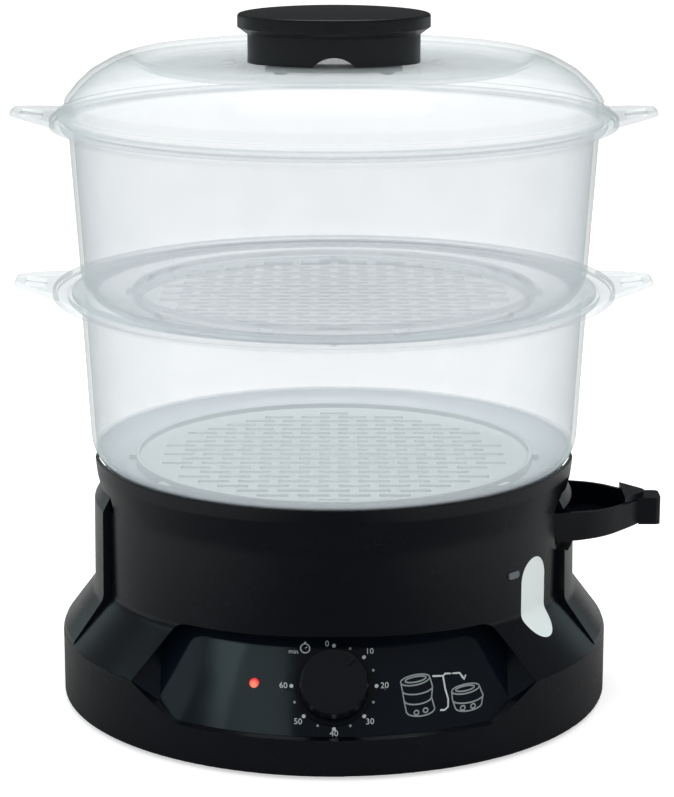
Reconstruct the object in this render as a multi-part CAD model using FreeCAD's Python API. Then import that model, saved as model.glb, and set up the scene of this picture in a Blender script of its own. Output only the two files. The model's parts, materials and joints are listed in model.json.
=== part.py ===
import FreeCAD, Part
import math
import os

# Two-tier electric food steamer. Millimetres. +X is the filler spout side, -Y the control
# panel side, +Z up. The origin is the centre of the base, on the surface it stands on.
# Azimuths are degrees from the front (-Y), positive towards +X.

V = FreeCAD.Vector

# Driving sizes: the tank's radius and height set the base, the bowls and the lid
TANK_R = 108.0
BASE_H = 115.3
SKIRT_TOP_Z = 32.0
TANK_FLOOR_Z = 43.0
BOWL_H = 85.2

# Fits and plastic thicknesses
FIT = 0.1                 # between pieces that are fixed together
LOOSE = 0.3               # between pieces that lift or slide
SHAFT_FIT = 0.05          # radial, round the timer shaft
TOUCH = 0.02              # under a seal or film that is pressed on
BASE_WALL = 2.5
BOWL_WALL = 1.8
LID_WALL = 2.0
FAR = 400.0               # past the whole object

# Base housing: skirt, flared shoulder, tank wall and lip
BASE_R = TANK_R + 19.0
SKIRT_BOTTOM_Z = 1.2
SKIRT_BOTTOM_CORNER = 1.6
CREASE_CORNER = 2.5
SHOULDER_Z = SKIRT_TOP_Z + 22.0
SHOULDER_CORNER = 7.0
LIP_R = TANK_R + 2.9
LIP_EDGE = 1.5
LIP_FOOT_Z = BASE_H - 19.3
LIP_FOOT_CORNER = 14.0
LIP_FULL_Z = BASE_H - 6.3
LIP_FULL_CORNER = 8.0
LIP_FLAT_X = (TANK_R - 2.1, TANK_R + 1.3)   # the lip leans out beyond this at both sides, foot and top
LIP_FLAT_Z = BASE_H - 12.5
LEDGE_TOP_Z = BASE_H - 9.8    # ledge that carries the drip tray
LEDGE_IN_R = TANK_R - 9.0
FLARE = (BASE_R - TANK_R) / (SHOULDER_Z - SKIRT_TOP_Z)
FLARE_LEAN = math.hypot(1.0, FLARE)
FLOOR_UNDER_Z = TANK_FLOOR_Z - BASE_WALL

# Side pads that run down the tank wall and the flare
PAD_R = TANK_R + 3.3
PAD_TOP_R = TANK_R - 1.5      # its head leans in under the lip
PAD_BACK_R = TANK_R - 4.5
PAD_HALF_AZ = 19.7
PAD_FOOT_Z = SKIRT_BOTTOM_Z + 8.0
PAD_FLARE_Z = SKIRT_TOP_Z + 1.5
PAD_SHOULDER_Z = SHOULDER_Z - 1.0
PAD_TOP_Z = BASE_H - 21.3

# Recesses beside the head of the pad at -X, and the filler opening at +X
POCKET_Z = (BASE_H - 20.8, BASE_H - 12.5)
POCKET_HALF_AZ = 23.0
POCKET_FLOOR_R = TANK_R - 7.0
FILLER_HALF_W = 41.5
FILLER_Z = (BASE_H - 40.8, BASE_H - 12.5)
FILLER_LUG_Z = BASE_H - 19.8      # the pad's head above the spout ends here
FILLER_CORNER = 10.0
BAFFLE_T = 2.0

# The base is one moulding, but its solids part above the tank's floor and under the recesses
BASE_SPLIT_Z = (TANK_FLOOR_Z + 1.0, POCKET_Z[0] - BASE_WALL - FIT)

# Control panel: a six-sided recess whose floor is part of a cone
PANEL_TOP = (68.0, SHOULDER_Z + 2.8)      # half width, height
PANEL_TOP_BOW = 1.6
PANEL_SIDE = (89.3, SKIRT_TOP_Z)
PANEL_BOTTOM = (69.5, SKIRT_TOP_Z - 14.0)
PANEL_CORNER = 9.0
PANEL_CONE_TOP_R = TANK_R - 11.0
PANEL_CONE_TOP_Z = SHOULDER_Z + 3.0
PANEL_CONE_SLOPE = 0.654      # radius gained per millimetre down
PANEL_DEEP_Y = TANK_R - 48.0  # behind the panel's ends
PANEL_FACET_X = PANEL_SIDE[0] - 12.8  # where the flat end facets start
PANEL_FACET_Z = (SKIRT_TOP_Z - 7.0, SKIRT_TOP_Z + 12.0)
PANEL_FACET_PROUD = 0.6
PANEL_T = 2.4
PANEL_SEAT = 2.0
PANEL_SEAT_W = 3.0
DIAL_Z = SKIRT_TOP_Z + 4.4
DIAL_R = PANEL_CONE_TOP_R + PANEL_CONE_SLOPE * (PANEL_CONE_TOP_Z - DIAL_Z)
DIAL_TILT = math.degrees(math.atan(PANEL_CONE_SLOPE))

# Timer chamber moulded up into the tank behind the control panel
CHAMBER_HALF_AZ = 46.0
CHAMBER_R = TANK_R - 32.0
CHAMBER_TOP_Z = SHOULDER_Z + 8.5

# Timer and knob
KNOB_R = 15.1
KNOB_TOP_R = 14.3
KNOB_NECK_R = 13.2
KNOB_NECK_H = 2.4
KNOB_H = 9.0
KNOB_SKIRT_R = 17.0
KNOB_RING_H = 1.4
SHAFT_R = 3.0
SHAFT_HOLE_R = SHAFT_R + 1.5
TIMER_R = 17.0
TIMER_DEPTH = 22.0
TIMER_STAND = 3.0             # behind the panel
TIMER_WALL = 1.4
TIMER_EAR_X = 21.5
TIMER_EAR_T = 2.0
TIMER_POST_R = 3.2
TIMER_PILOT_R = 1.2           # thread holes in the posts
CAM_R = 11.0
BELL_R = 12.5
POINTER_ANGLE = 45.0          # clockwise from the top: the ten minute mark
POINTER = (9.0, 13.4)         # inner and outer ends of the groove
POINTER_W = 0.8

# Pilot light
PILOT_X = -34.6
PILOT_R = 2.1
PILOT_RIM = 1.2
PILOT_REST = 0.25
PILOT_LAMP_R = 2.2

# Water level window and its full mark
WINDOW_CLEAR = 0.13           # its middle stands this far outside the panel's corner
WINDOW_AZ = math.degrees(math.asin((PANEL_SIDE[0] + WINDOW_CLEAR) / TANK_R))
WINDOW_W = 20.6
WINDOW_Z = (TANK_FLOOR_Z + 1.2, BASE_H - 35.4)
WINDOW_BACK_Y = TANK_R - 28.0
WINDOW_FLANGE = 3.0
WINDOW_FLANGE_T = 1.5
WINDOW_SEAL_T = 0.8
WINDOW_SET_IN = 0.15
MARK_AZ = WINDOW_AZ - 8.7
MARK_Z = WINDOW_Z[1] - 4.5
MARK_W = 7.0
MARK_H = 3.2
MARK_T = 0.7
MARK_CORNER = 1.2

# Filler spout: a drawer-like trough that slides in along -X
SPOUT_Z = (FILLER_Z[0] + 3.5, FILLER_Z[0] + 16.8)
SPOUT_WALL = 2.0
SPOUT_ROOT_X = TANK_R - 11.0
SPOUT_SHOULDER_X = SPOUT_ROOT_X + 3.5
SPOUT_HALF_W = 31.0
SPOUT_MID = (TANK_R + 16.0, 25.5)
SPOUT_CHEEK = (TANK_R + 29.5, 12.0)
SPOUT_POINT_X = TANK_R + 39.5
SPOUT_KEEL_X = TANK_R + 4.0   # the underside rises from here to the nose
SPOUT_KEEL_SLOPE = 0.07
TIP_X = (TANK_R + 26.5, TANK_R + 44.0)
TIP_BLOCK_X = TIP_X[0] + 3.0
TIP_BLOCK_Z = (SPOUT_Z[0] + 1.5, SPOUT_Z[1] + 1.0)
TIP_HALF_W = 7.0
TIP_CORNER = 2.5
TIP_TOP_Z = SPOUT_Z[1] + 3.0
TIP_STEP = 0.9                # the trough's rim shows outside the cover plate
TIP_PLUG_H = 5.0
RAIL_X = TANK_R - 46.0
RAIL_Y = SPOUT_HALF_W + 5.0
RAIL_W = 12.0
RAIL_T = 2.5

# Bottom cover, its screws and the feet
COVER_Z = 3.0
COVER_T = 2.5
FOOT_R = 9.0
FOOT_PLACE_R = BASE_R - 21.0
FOOT_AZ = (35.0, 145.0, 215.0, 325.0)
FOOT_STEM_R = 3.0
BOSS_PLACE_R = TANK_R - 8.0
BOSS_AZ = (66.0, 114.0, 246.0, 294.0)
BOSS_R = 4.5
SCREW_R = 1.5
SCREW_HOLE_R = SCREW_R + LOOSE
SCREW_HEAD_R = 3.2
SCREW_HEAD_H = 1.4
COVER_SCREW_L = 14.0
HANDLE_SCREW_L = 11.0
VENT_ROWS = 5
VENT_PITCH = 9.0
VENT_SIZE = (34.0, 3.5)
VENT_CORNER = 1.5

# Heater
HEATER_FLANGE_R = 48.0
HEATER_FLANGE_T = 2.4
HEATER_HOLE_R = 36.0
HEATER_BLOCK_R = 33.5
HEATER_BLOCK_Z = TANK_FLOOR_Z - 5.0
HEATER_DOME_R = 28.0
HEATER_DOME_H = 4.0
SEAL_T = 0.8
STUD_PLACE_R = 42.0
STUD_R = 2.0
STUD_LOW_Z = TANK_FLOOR_Z - 10.0
STUD_COUNT = 3
NUT_R = 4.0
NUT_H = 3.2
ELEMENT_R = 24.0
ELEMENT_TUBE_R = 3.6
ELEMENT_PIN_R = 1.2
ELEMENT_PIN_L = 7.0
ELEMENT_GAP_DEG = 60.0
ELEMENT_TAIL = 16.0
ELEMENT_Z = HEATER_BLOCK_Z - ELEMENT_TUBE_R - FIT / 2
THERMOSTAT_R = 8.5
THERMOSTAT_H = 9.0
FUSE_R = 2.4
FUSE_L = 14.0

# Mains side
INLET_Z = 16.0
INLET_BORE_R = 3.6
INLET_SLEEVE_R = 6.0
INLET_FLANGE_R = 9.0
INLET_FLANGE_T = 2.0
INLET_L = 18.0
BLOCK_SIZE = (38.0, 16.0, 13.0)
BLOCK_Y = TANK_R - 24.0
BLOCK_WIRE_Z = 5.0            # bores above the block's foot
WIRE_R = 1.1
WIRE_BEND = 5.4
WIRE_SIDE_X = TANK_R - 44.0

# Steam ring round the heater
RING_R = 56.0
RING_WALL = 1.8
RING_H = 29.0
RING_NOTCH = (14.0, 7.0)
RING_NOTCHES = 6
RING_CAP_IN_R = 44.0

# Drip tray
TRAY_T = 1.6
TRAY_R = LEDGE_IN_R - 8.0
TRAY_FLOOR_Z = LEDGE_TOP_Z - 13.5
TRAY_FLANGE_R = TANK_R - BASE_WALL - 2 * LOOSE
TRAY_FLANGE_Z = LEDGE_TOP_Z + LOOSE / 2
CHIMNEY_R = 22.0
CHIMNEY_TOP_Z = TRAY_FLOOR_Z + 9.0
CHIMNEY_CAP_R = 27.0
CHIMNEY_RIBS = 4

# Bowls
NEST = 7.8
FLOOR_CORNER = 18.0
LOWER_FOOT_R = TANK_R + 3.2           # outer wall run down to the floor level
UPPER_FOOT_R = LOWER_FOOT_R + 3.3
LOWER_TOP_R = LOWER_FOOT_R + 4.2      # outer wall under the rim
UPPER_TOP_R = LOWER_TOP_R + 4.0
LOWER_COLLAR_R = LOWER_TOP_R + 4.3
UPPER_COLLAR_R = UPPER_TOP_R + 2.2
RIM_R = UPPER_COLLAR_R + 6.6
RIM_DROP = 3.6
RIM_SHELF = 3.2
RIM_T = 1.8
FLOOR_HOLE_R = LOWER_FOOT_R - 23.2
DRAIN_R = 1.3
DRAIN_PLACE_R = FLOOR_HOLE_R + 12.5
DRAIN_COUNT = 6
SEAT_RIB_T = 1.5
BOWL_FLOOR_H = 6.5            # each bowl is one moulding, but its solids part at two levels
BOWL_RIM_H = 8.7
LOWER_BOWL_Z = TRAY_FLANGE_Z + TRAY_T + LOOSE
UPPER_BOWL_Z = LOWER_BOWL_Z + BOWL_H - NEST

# Ears on both rims, sloping up to their tips
EAR_TIP_X = RIM_R + 17.4
EAR_MID_X = RIM_R + 7.8
EAR_ROOT_X = RIM_R - 7.2
EAR_ROOT_W = 33.0
EAR_MID_W = 20.5
EAR_TIP_W = 9.5
EAR_CORNER = 6.0
EAR_BEND = 14.0
EAR_EDGE_H = 2.8
EAR_RISE_DEG = 7.4
EAR_HINGE_X = RIM_R - 2.0
EAR_SLOT_X = (RIM_R + 3.4, RIM_R + 13.0)
EAR_SLOT_W = 4.4
EAR_SLOT_CORNER = 2.0
EAR_WALL = 1.8

# Removable floor grids
GRID_R = FLOOR_HOLE_R + 4.0
GRID_T = 1.8
GRID_EDGE_H = 3.0
GRID_SLOT = (14.0, 4.0)
GRID_PITCH = (18.0, 8.0)
GRID_MARGIN = 9.0
GRID_TABS = 10
GRID_TAB = (3.0, 7.0, 2.2)

# Lid: radii inside the wall, and heights above the upper rim
LID_FLANGE_R = RIM_R - 3.2
LID_FLANGE_T = 2.4
LID_WALL_R = LID_FLANGE_R - 3.8
LID_WALL_TOP = 7.7
LID_SKIRT_DROP = 3.0
LID_KNEE = (LID_WALL_R - 5.2, 14.2)
LID_BROW = (LID_WALL_R - 11.2, 19.8)
LID_CROWN = (LID_WALL_R - 21.2, 25.4)
LID_CREASE = (LID_WALL_R - 29.2, 27.8)
LID_DISH = (LID_WALL_R - 35.2, 23.4)
LID_OVAL_X = 47.0
LID_OVAL = (3.2, 5.0, 1.2)
VENT_SLOT = (12.0, 4.0)
VENT_SLOT_Y = 13.0
VENT_SLOT_CORNER = 1.8
LID_Z = UPPER_BOWL_Z + BOWL_H
LID_SEAT_Z = LID_Z + LOOSE
PLATEAU_Z = LID_Z + LID_DISH[1]

# Lid handle
HANDLE_BODY = (38.9, 24.5)
HANDLE_TOP = (43.4, 39.0)
HANDLE_NECK_H = 12.6
HANDLE_UNDER_H = 16.1
HANDLE_H = 24.0
HANDLE_CROWN = 2.2
HANDLE_EDGE = 1.2
HANDLE_WALL = 2.5
ARCH_W = 18.6
ARCH_H = 4.3
HANDLE_SCREW_X = 24.0
HANDLE_BOSS_R = 4.5
RETAINER = (31.0, 10.0, 2.0)


# ---------------------------------------------------------------- helpers

def rounded_wire(points, place):
    """Closed outline through (u, v) or (u, v, corner radius) points, set in space by place."""
    joints = []
    count = len(points)
    for i in range(count):
        u, v = points[i][:2]
        radius = points[i][2] if len(points[i]) > 2 else 0.0
        if radius == 0.0:
            joints.append((place(u, v), None, place(u, v)))
            continue
        back = (points[i - 1][0] - u, points[i - 1][1] - v)
        ahead = (points[(i + 1) % count][0] - u, points[(i + 1) % count][1] - v)
        back_l = math.hypot(*back)
        ahead_l = math.hypot(*ahead)
        a = (back[0] / back_l, back[1] / back_l)
        b = (ahead[0] / ahead_l, ahead[1] / ahead_l)
        half = math.acos(a[0] * b[0] + a[1] * b[1]) / 2
        reach = radius / math.tan(half)
        depth = radius / math.sin(half) - radius
        mid_l = math.hypot(a[0] + b[0], a[1] + b[1])
        middle = (u + (a[0] + b[0]) / mid_l * depth, v + (a[1] + b[1]) / mid_l * depth)
        joints.append((
            place(u + a[0] * reach, v + a[1] * reach),
            place(*middle),
            place(u + b[0] * reach, v + b[1] * reach),
        ))
    edges = []
    for i in range(count):
        start = joints[i - 1][2]
        entry, middle, leave = joints[i]
        if start.distanceToPoint(entry) > 1e-6:
            edges.append(Part.makeLine(start, entry))
        if middle is not None:
            edges.append(Part.Arc(entry, middle, leave).toShape())
    return Part.Wire(edges)


def turned(points):
    """Solid of revolution about Z from (radius, height[, corner radius]) points."""
    face = Part.Face(rounded_wire(points, lambda u, v: V(u, 0, v)))
    return face.revolve(V(0, 0, 0), V(0, 0, 1), 360)


def plate(points, z, height):
    """Plan outline of (x, y[, corner radius]) points, extruded up from z."""
    face = Part.Face(rounded_wire(points, lambda u, v: V(u, v, z)))
    return face.extrude(V(0, 0, height))


def cylinder(radius, z0, z1, x=0.0, y=0.0):
    return Part.makeCylinder(radius, z1 - z0, V(x, y, z0))


def tube(r_out, r_in, z0, z1, x=0.0, y=0.0):
    return cylinder(r_out, z0, z1, x, y).cut(cylinder(r_in, z0 - 1, z1 + 1, x, y))


def box(x0, x1, y0, y1, z0, z1):
    return Part.makeBox(x1 - x0, y1 - y0, z1 - z0, V(x0, y0, z0))


def place_at(radius, azimuth):
    """Plan position at an azimuth from the front."""
    a = math.radians(azimuth)
    return radius * math.sin(a), -radius * math.cos(a)


def turn_to(shape, azimuth):
    """Turn a shape modelled at the front to an azimuth."""
    done = shape.copy()
    done.rotate(V(0, 0, 0), V(0, 0, 1), azimuth)
    return done


def sector(r_in, r_out, z0, z1, azimuth, half):
    """Ring segment centred on an azimuth."""
    outline = Part.makePolygon([
        V(0, -r_in, z0), V(0, -r_out, z0), V(0, -r_out, z1), V(0, -r_in, z1), V(0, -r_in, z0),
    ])
    body = Part.Face(outline).revolve(V(0, 0, 0), V(0, 0, 1), 2 * half)
    return turn_to(body, azimuth - half)


def ellipse_face(half_x, half_y, z):
    if half_x >= half_y:
        curve = Part.Ellipse(V(half_x, 0, z), V(0, half_y, z), V(0, 0, z))
    else:
        curve = Part.Ellipse(V(0, half_y, z), V(-half_x, 0, z), V(0, 0, z))
    return Part.Face(Part.Wire([curve.toShape()]))


def ellipse_block(half_x, half_y, z0, z1):
    return ellipse_face(half_x, half_y, z0).extrude(V(0, 0, z1 - z0))


def on_dial(shape, azimuth=0.0):
    """Move a shape modelled round +Z, with its seat at z = 0, onto the panel at an azimuth.

    Its +Y then points up the slope of the panel.
    """
    done = shape.copy()
    done.rotate(V(0, 0, 0), V(1, 0, 0), 90 - DIAL_TILT)
    done.translate(V(0, -DIAL_R, DIAL_Z))
    return turn_to(done, azimuth)


def pipe(points, radius, bend):
    """Round bar through points, with arcs of one radius at the corners."""
    edges = []
    start = points[0]
    for i in range(1, len(points) - 1):
        corner = points[i]
        a = (points[i - 1] - corner).normalize()
        b = (points[i + 1] - corner).normalize()
        half = a.getAngle(b) / 2
        reach = bend / math.tan(half)
        entry = corner + a * reach
        leave = corner + b * reach
        middle = corner + (a + b).normalize() * (bend / math.sin(half) - bend)
        edges.append(Part.makeLine(start, entry))
        edges.append(Part.Arc(entry, middle, leave).toShape())
        start = leave
    edges.append(Part.makeLine(start, points[-1]))
    path = Part.Wire(edges)
    ring = Part.Wire([Part.makeCircle(radius, points[0], points[1] - points[0])])
    return path.makePipeShell([ring], True, False)


def fuse_all(shapes):
    return shapes[0].fuse(shapes[1:]).removeSplitter()


# ---------------------------------------------------------------- base

def wall_profile(inset, top_r, top_z):
    """Outline inside the base's outer surface, a wall thickness inset from it."""
    lean = inset * FLARE_LEAN
    crease_z = SKIRT_TOP_Z + (inset - lean) / FLARE
    shoulder_z = SKIRT_TOP_Z + (BASE_R - TANK_R + inset - lean) / FLARE
    return [
        (0, -1),
        (BASE_R - inset, -1),
        (BASE_R - inset, crease_z, CREASE_CORNER - 0.5),
        (TANK_R - inset, shoulder_z, SHOULDER_CORNER - 1.0),
        (TANK_R - inset, LIP_FOOT_Z),
        (top_r, top_z),
        (0, top_z),
    ]


def base_outer():
    """The whole outer shape of the base as one block."""
    body = turned([
        (0, SKIRT_BOTTOM_Z),
        (BASE_R, SKIRT_BOTTOM_Z, SKIRT_BOTTOM_CORNER),
        (BASE_R, SKIRT_TOP_Z, CREASE_CORNER),
        (TANK_R, SHOULDER_Z, SHOULDER_CORNER),
        (TANK_R, LIP_FOOT_Z, LIP_FOOT_CORNER),
        (LIP_R, LIP_FULL_Z, LIP_FULL_CORNER),
        (LIP_R, BASE_H, 0.5),
        (0, BASE_H),
    ])
    pad = turned([
        (PAD_TOP_R - 2, PAD_FOOT_Z),
        (BASE_R - 0.6, PAD_FOOT_Z),
        (BASE_R - 0.6, PAD_FLARE_Z, 3),
        (PAD_R + 0.5, PAD_SHOULDER_Z, 8),
        (PAD_R, PAD_TOP_Z, 2.5),
        (PAD_TOP_R, POCKET_Z[1]),
        (PAD_TOP_R - 2, POCKET_Z[1]),
    ])
    pads = [pad.common(sector(PAD_BACK_R - 1, FAR, 0, FAR, side, PAD_HALF_AZ)) for side in (90, -90)]
    return body.fuse(pads)


def lip_flats():
    """What the sides of the lip lose, beyond a plane that leans out."""
    foot, top = LIP_FLAT_X
    lean = (top - foot) / (BASE_H - LIP_FLAT_Z)
    outline = [(foot, LIP_FLAT_Z), (FAR, LIP_FLAT_Z), (FAR, BASE_H + 1), (top + lean, BASE_H + 1)]
    flat = Part.Face(rounded_wire(outline, lambda u, v: V(u, -FAR, v))).extrude(V(0, 2 * FAR, 0))
    return [flat, flat.mirror(V(0, 0, 0), V(1, 0, 0))]


def head_cuts():
    """What leaves the leaning heads of the two pads free in front of the wall."""
    head = turned([
        (0, PAD_TOP_Z), (PAD_R, PAD_TOP_Z), (PAD_TOP_R, POCKET_Z[1]), (0, POCKET_Z[1]),
    ])
    around = [sector(PAD_BACK_R, FAR, PAD_TOP_Z + 3, POCKET_Z[1], side, PAD_HALF_AZ) for side in (90, -90)]
    return [one.cut(head) for one in around]


def panel_prism(grow):
    """Six-sided front view of the panel, grown on every side, as a prism along Y."""
    crown = (0.0, PANEL_TOP[1] + PANEL_TOP_BOW)
    bow = PANEL_TOP[0] ** 2 / (4 * PANEL_TOP_BOW)
    points = [
        (-PANEL_TOP[0], PANEL_TOP[1]), crown, PANEL_TOP, PANEL_SIDE,
        PANEL_BOTTOM, (-PANEL_BOTTOM[0], PANEL_BOTTOM[1]), (-PANEL_SIDE[0], PANEL_SIDE[1]),
    ]
    corners = [PANEL_CORNER, bow, PANEL_CORNER, 1.0, PANEL_CORNER, PANEL_CORNER, 1.0]
    outline = [(p[0], p[1], r) for p, r in zip(points, corners)]
    wire = rounded_wire(outline, lambda u, v: V(u, -FAR, v))
    if grow:
        wire = wire.makeOffset2D(grow)
    return Part.Face(wire).extrude(V(0, FAR - PANEL_DEEP_Y, 0))


def cone_r(z):
    """Radius of the panel's surface at a height."""
    return PANEL_CONE_TOP_R + PANEL_CONE_SLOPE * (PANEL_CONE_TOP_Z - z)


def behind_panel(depth):
    """Everything behind the panel's surface, set back by a depth."""
    low_r = cone_r(0)
    body = turned([(0, 0), (low_r, 0), (cone_r(BASE_H), BASE_H), (0, BASE_H)])
    facet_points = []
    for z in PANEL_FACET_Z[::-1]:
        facet_points.append(V(PANEL_FACET_X, -math.sqrt(cone_r(z) ** 2 - PANEL_FACET_X ** 2), z))
    side_y = -math.sqrt(BASE_R ** 2 - PANEL_SIDE[0] ** 2)
    vertex = V(PANEL_SIDE[0], side_y + PANEL_FACET_PROUD, PANEL_SIDE[1])
    normal = (facet_points[0] - vertex).cross(facet_points[1] - vertex).normalize()
    if normal.y > 0:
        normal = normal * -1
    reach = 2 * PANEL_SIDE[1]
    slab = Part.makeBox(2 * reach, 2 * reach, reach, V(-reach, -reach, -reach))
    slab.Placement = FreeCAD.Placement(vertex, FreeCAD.Rotation(V(0, 0, 1), normal))
    wedge = slab.common(box(PANEL_FACET_X - 12, BASE_R, -FAR, 20 - PANEL_DEEP_Y, 0, BASE_H))
    body = body.fuse([wedge, wedge.mirror(V(0, 0, 0), V(1, 0, 0))])
    tilt = math.radians(DIAL_TILT)
    body.translate(V(0, depth * math.cos(tilt), -depth * math.sin(tilt)))
    return body


def window_prism(grow):
    """Round-ended slot in front view, pushed outwards through the wall at the window."""
    half = WINDOW_W / 2 + grow
    z0 = WINDOW_Z[0] - grow
    z1 = WINDOW_Z[1] + grow
    outline = [
        (-half, z0, half * 0.98), (half, z0, half * 0.98),
        (half, z1, half * 0.98), (-half, z1, half * 0.98),
    ]
    wire = rounded_wire(outline, lambda u, v: V(u, -FAR / 2, v))
    return turn_to(Part.Face(wire).extrude(V(0, FAR / 2 - WINDOW_BACK_Y, 0)), WINDOW_AZ)


def mark_prism(grow):
    half_w = MARK_W / 2 + grow
    half_h = MARK_H / 2 + grow
    outline = [
        (-half_w, MARK_Z - half_h, MARK_CORNER), (half_w, MARK_Z - half_h, MARK_CORNER),
        (half_w, MARK_Z + half_h, MARK_CORNER), (-half_w, MARK_Z + half_h, MARK_CORNER),
    ]
    wire = rounded_wire(outline, lambda u, v: V(u, -TANK_R - MARK_T, v))
    return turn_to(Part.Face(wire).extrude(V(0, 2 * MARK_T, 0)), MARK_AZ)


def filler_cut():
    half = FILLER_HALF_W
    outline = [
        (-half, FILLER_Z[0], FILLER_CORNER), (half, FILLER_Z[0], FILLER_CORNER),
        (half, FILLER_Z[1], FILLER_CORNER), (-half, FILLER_Z[1], FILLER_CORNER),
    ]
    wire = rounded_wire(outline, lambda u, v: V(TANK_R - 18, u, v))
    lug = sector(PAD_BACK_R, FAR, FILLER_LUG_Z, FAR, 90, PAD_HALF_AZ)
    return Part.Face(wire).extrude(V(FAR, 0, 0)).cut(lug)


def base_housing():
    outer = base_outer()
    inner = turned(wall_profile(BASE_WALL, LIP_R - LIP_EDGE, BASE_H + 0.01))
    chamber = sector(CHAMBER_R, FAR, 0, CHAMBER_TOP_Z, 0, CHAMBER_HALF_AZ)
    void_half = CHAMBER_HALF_AZ - math.degrees(BASE_WALL / CHAMBER_R)
    void = sector(CHAMBER_R + BASE_WALL, FAR, 0, CHAMBER_TOP_Z - BASE_WALL, 0, void_half)
    tank = inner.common(cylinder(FAR, TANK_FLOOR_Z, FAR)).cut(chamber)
    below = inner.common(cylinder(FAR, -2, FLOOR_UNDER_Z))
    body = outer.cut([tank, below, inner.common(void)])

    # frame round the control panel, with a seat behind it; behind the tank's water it stays shut
    rim = outer.common(panel_prism(BASE_WALL)).cut(behind_panel(PANEL_T + PANEL_SEAT))
    body = body.fuse(rim)
    body = body.cut(panel_prism(0).cut(behind_panel(PANEL_T)))
    dry = void.fuse(cylinder(FAR, -2, FLOOR_UNDER_Z))
    body = body.cut(panel_prism(-PANEL_SEAT_W).common(dry))

    # ledge for the drip tray, closing the tops of the pocket and the filler opening
    ledge_low = LEDGE_TOP_Z - BASE_WALL
    body = body.fuse(tube(TANK_R - 1, LEDGE_IN_R, ledge_low, LEDGE_TOP_Z))

    # recesses on both sides of the head of the pad at -X, each with a liner behind it
    box_low = POCKET_Z[0] - BASE_WALL
    side_half = (POCKET_HALF_AZ - PAD_HALF_AZ) / 2
    liners = [sector(PAD_BACK_R, TANK_R - 1, box_low, LEDGE_TOP_Z, side, PAD_HALF_AZ + 1) for side in (90, -90)]
    recesses = []
    for turn in (-1, 1):
        middle = -90 + turn * (PAD_HALF_AZ + side_half)
        liners.append(sector(POCKET_FLOOR_R - BASE_WALL, TANK_R - 1, box_low, LEDGE_TOP_Z, middle,
                             side_half + 1.6))
        recesses.append(sector(POCKET_FLOOR_R, FAR, *POCKET_Z, middle, side_half))
    body = body.fuse(liners).cut(head_cuts() + lip_flats() + recesses)

    # filler opening at +X, with a steam baffle above the spout and two rails below it
    body = body.cut(filler_cut())
    baffle = sector(LEDGE_IN_R, LEDGE_IN_R + BAFFLE_T, TIP_TOP_Z + 1, LEDGE_TOP_Z, 90, POCKET_HALF_AZ)
    rails = []
    rail_top = SPOUT_Z[0] - LOOSE
    for side in (-1, 1):
        y0, y1 = sorted((side * RAIL_Y, side * (RAIL_Y - RAIL_W)))
        rail = box(RAIL_X, TANK_R, y0, y1, rail_top - RAIL_T, rail_top)
        rails.append(rail.common(cylinder(TANK_R - BASE_WALL / 2, 0, FAR)))
    body = body.fuse([baffle] + rails)

    # heater hole, stud holes, window, full mark, cover bosses and cord inlet
    holes = [cylinder(HEATER_HOLE_R, 0, TANK_FLOOR_Z + 5)]
    for x, y in stud_places():
        holes.append(cylinder(STUD_R + FIT, 0, TANK_FLOOR_Z + 5, x, y))
    holes.append(window_prism(0))
    holes.append(mark_prism(0))
    body = body.cut(holes)
    posts = []
    bores = []
    for x, y in boss_places():
        posts.append(cylinder(BOSS_R, COVER_Z + COVER_T + FIT, FLOOR_UNDER_Z + 1, x, y))
        bores.append(cylinder(SCREW_R, 0, COVER_Z + COVER_SCREW_L + 2, x, y))
    body = body.fuse(posts).cut(bores)
    inlet = Part.makeCylinder(INLET_SLEEVE_R + FIT, 20, V(0, BASE_R - 12, INLET_Z), V(0, 1, 0))
    return body.cut(inlet).removeSplitter()


def base_nodes():
    """The base moulding as skirt, tank wall and lip, which meet face to face."""
    body = base_housing()
    levels = [-1, *BASE_SPLIT_Z, BASE_H + 1]
    rings = [body.common(cylinder(FAR, *level)) for level in zip(levels, levels[1:])]
    return dict(zip(("base_skirt", "base_housing", "base_lip"), rings))


def boss_places():
    return [place_at(BOSS_PLACE_R, azimuth) for azimuth in BOSS_AZ]


def foot_places():
    return [place_at(FOOT_PLACE_R, azimuth) for azimuth in FOOT_AZ]


def stud_places():
    return [place_at(STUD_PLACE_R, 360 / STUD_COUNT * i) for i in range(STUD_COUNT)]


def bottom_cover():
    body = cylinder(BASE_R - BASE_WALL - LOOSE, COVER_Z, COVER_Z + COVER_T)
    holes = []
    for x, y in boss_places():
        holes.append(cylinder(SCREW_HOLE_R, 0, 20, x, y))
    for x, y in foot_places():
        holes.append(cylinder(FOOT_STEM_R, 0, 20, x, y))
    for row in range(VENT_ROWS):
        y = (row - (VENT_ROWS - 1) / 2) * VENT_PITCH
        half_l = VENT_SIZE[0] / 2
        half_w = VENT_SIZE[1] / 2
        holes.append(plate([
            (-half_l, y - half_w, VENT_CORNER), (half_l, y - half_w, VENT_CORNER),
            (half_l, y + half_w, VENT_CORNER), (-half_l, y + half_w, VENT_CORNER),
        ], 0, 20))
    return body.cut(holes)


def feet():
    made = []
    for x, y in foot_places():
        pad = turned([(0, 0), (FOOT_R, 0, 1), (FOOT_R, COVER_Z - FIT), (0, COVER_Z - FIT)])
        pad.translate(V(x, y, 0))
        top = COVER_Z + COVER_T + FIT
        stem = cylinder(FOOT_STEM_R - FIT, COVER_Z - 1, top + 1, x, y)
        head = cylinder(FOOT_STEM_R + 1, top, top + 1.6, x, y)
        made.append(fuse_all([pad, stem, head]))
    return Part.makeCompound(made)


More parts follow.
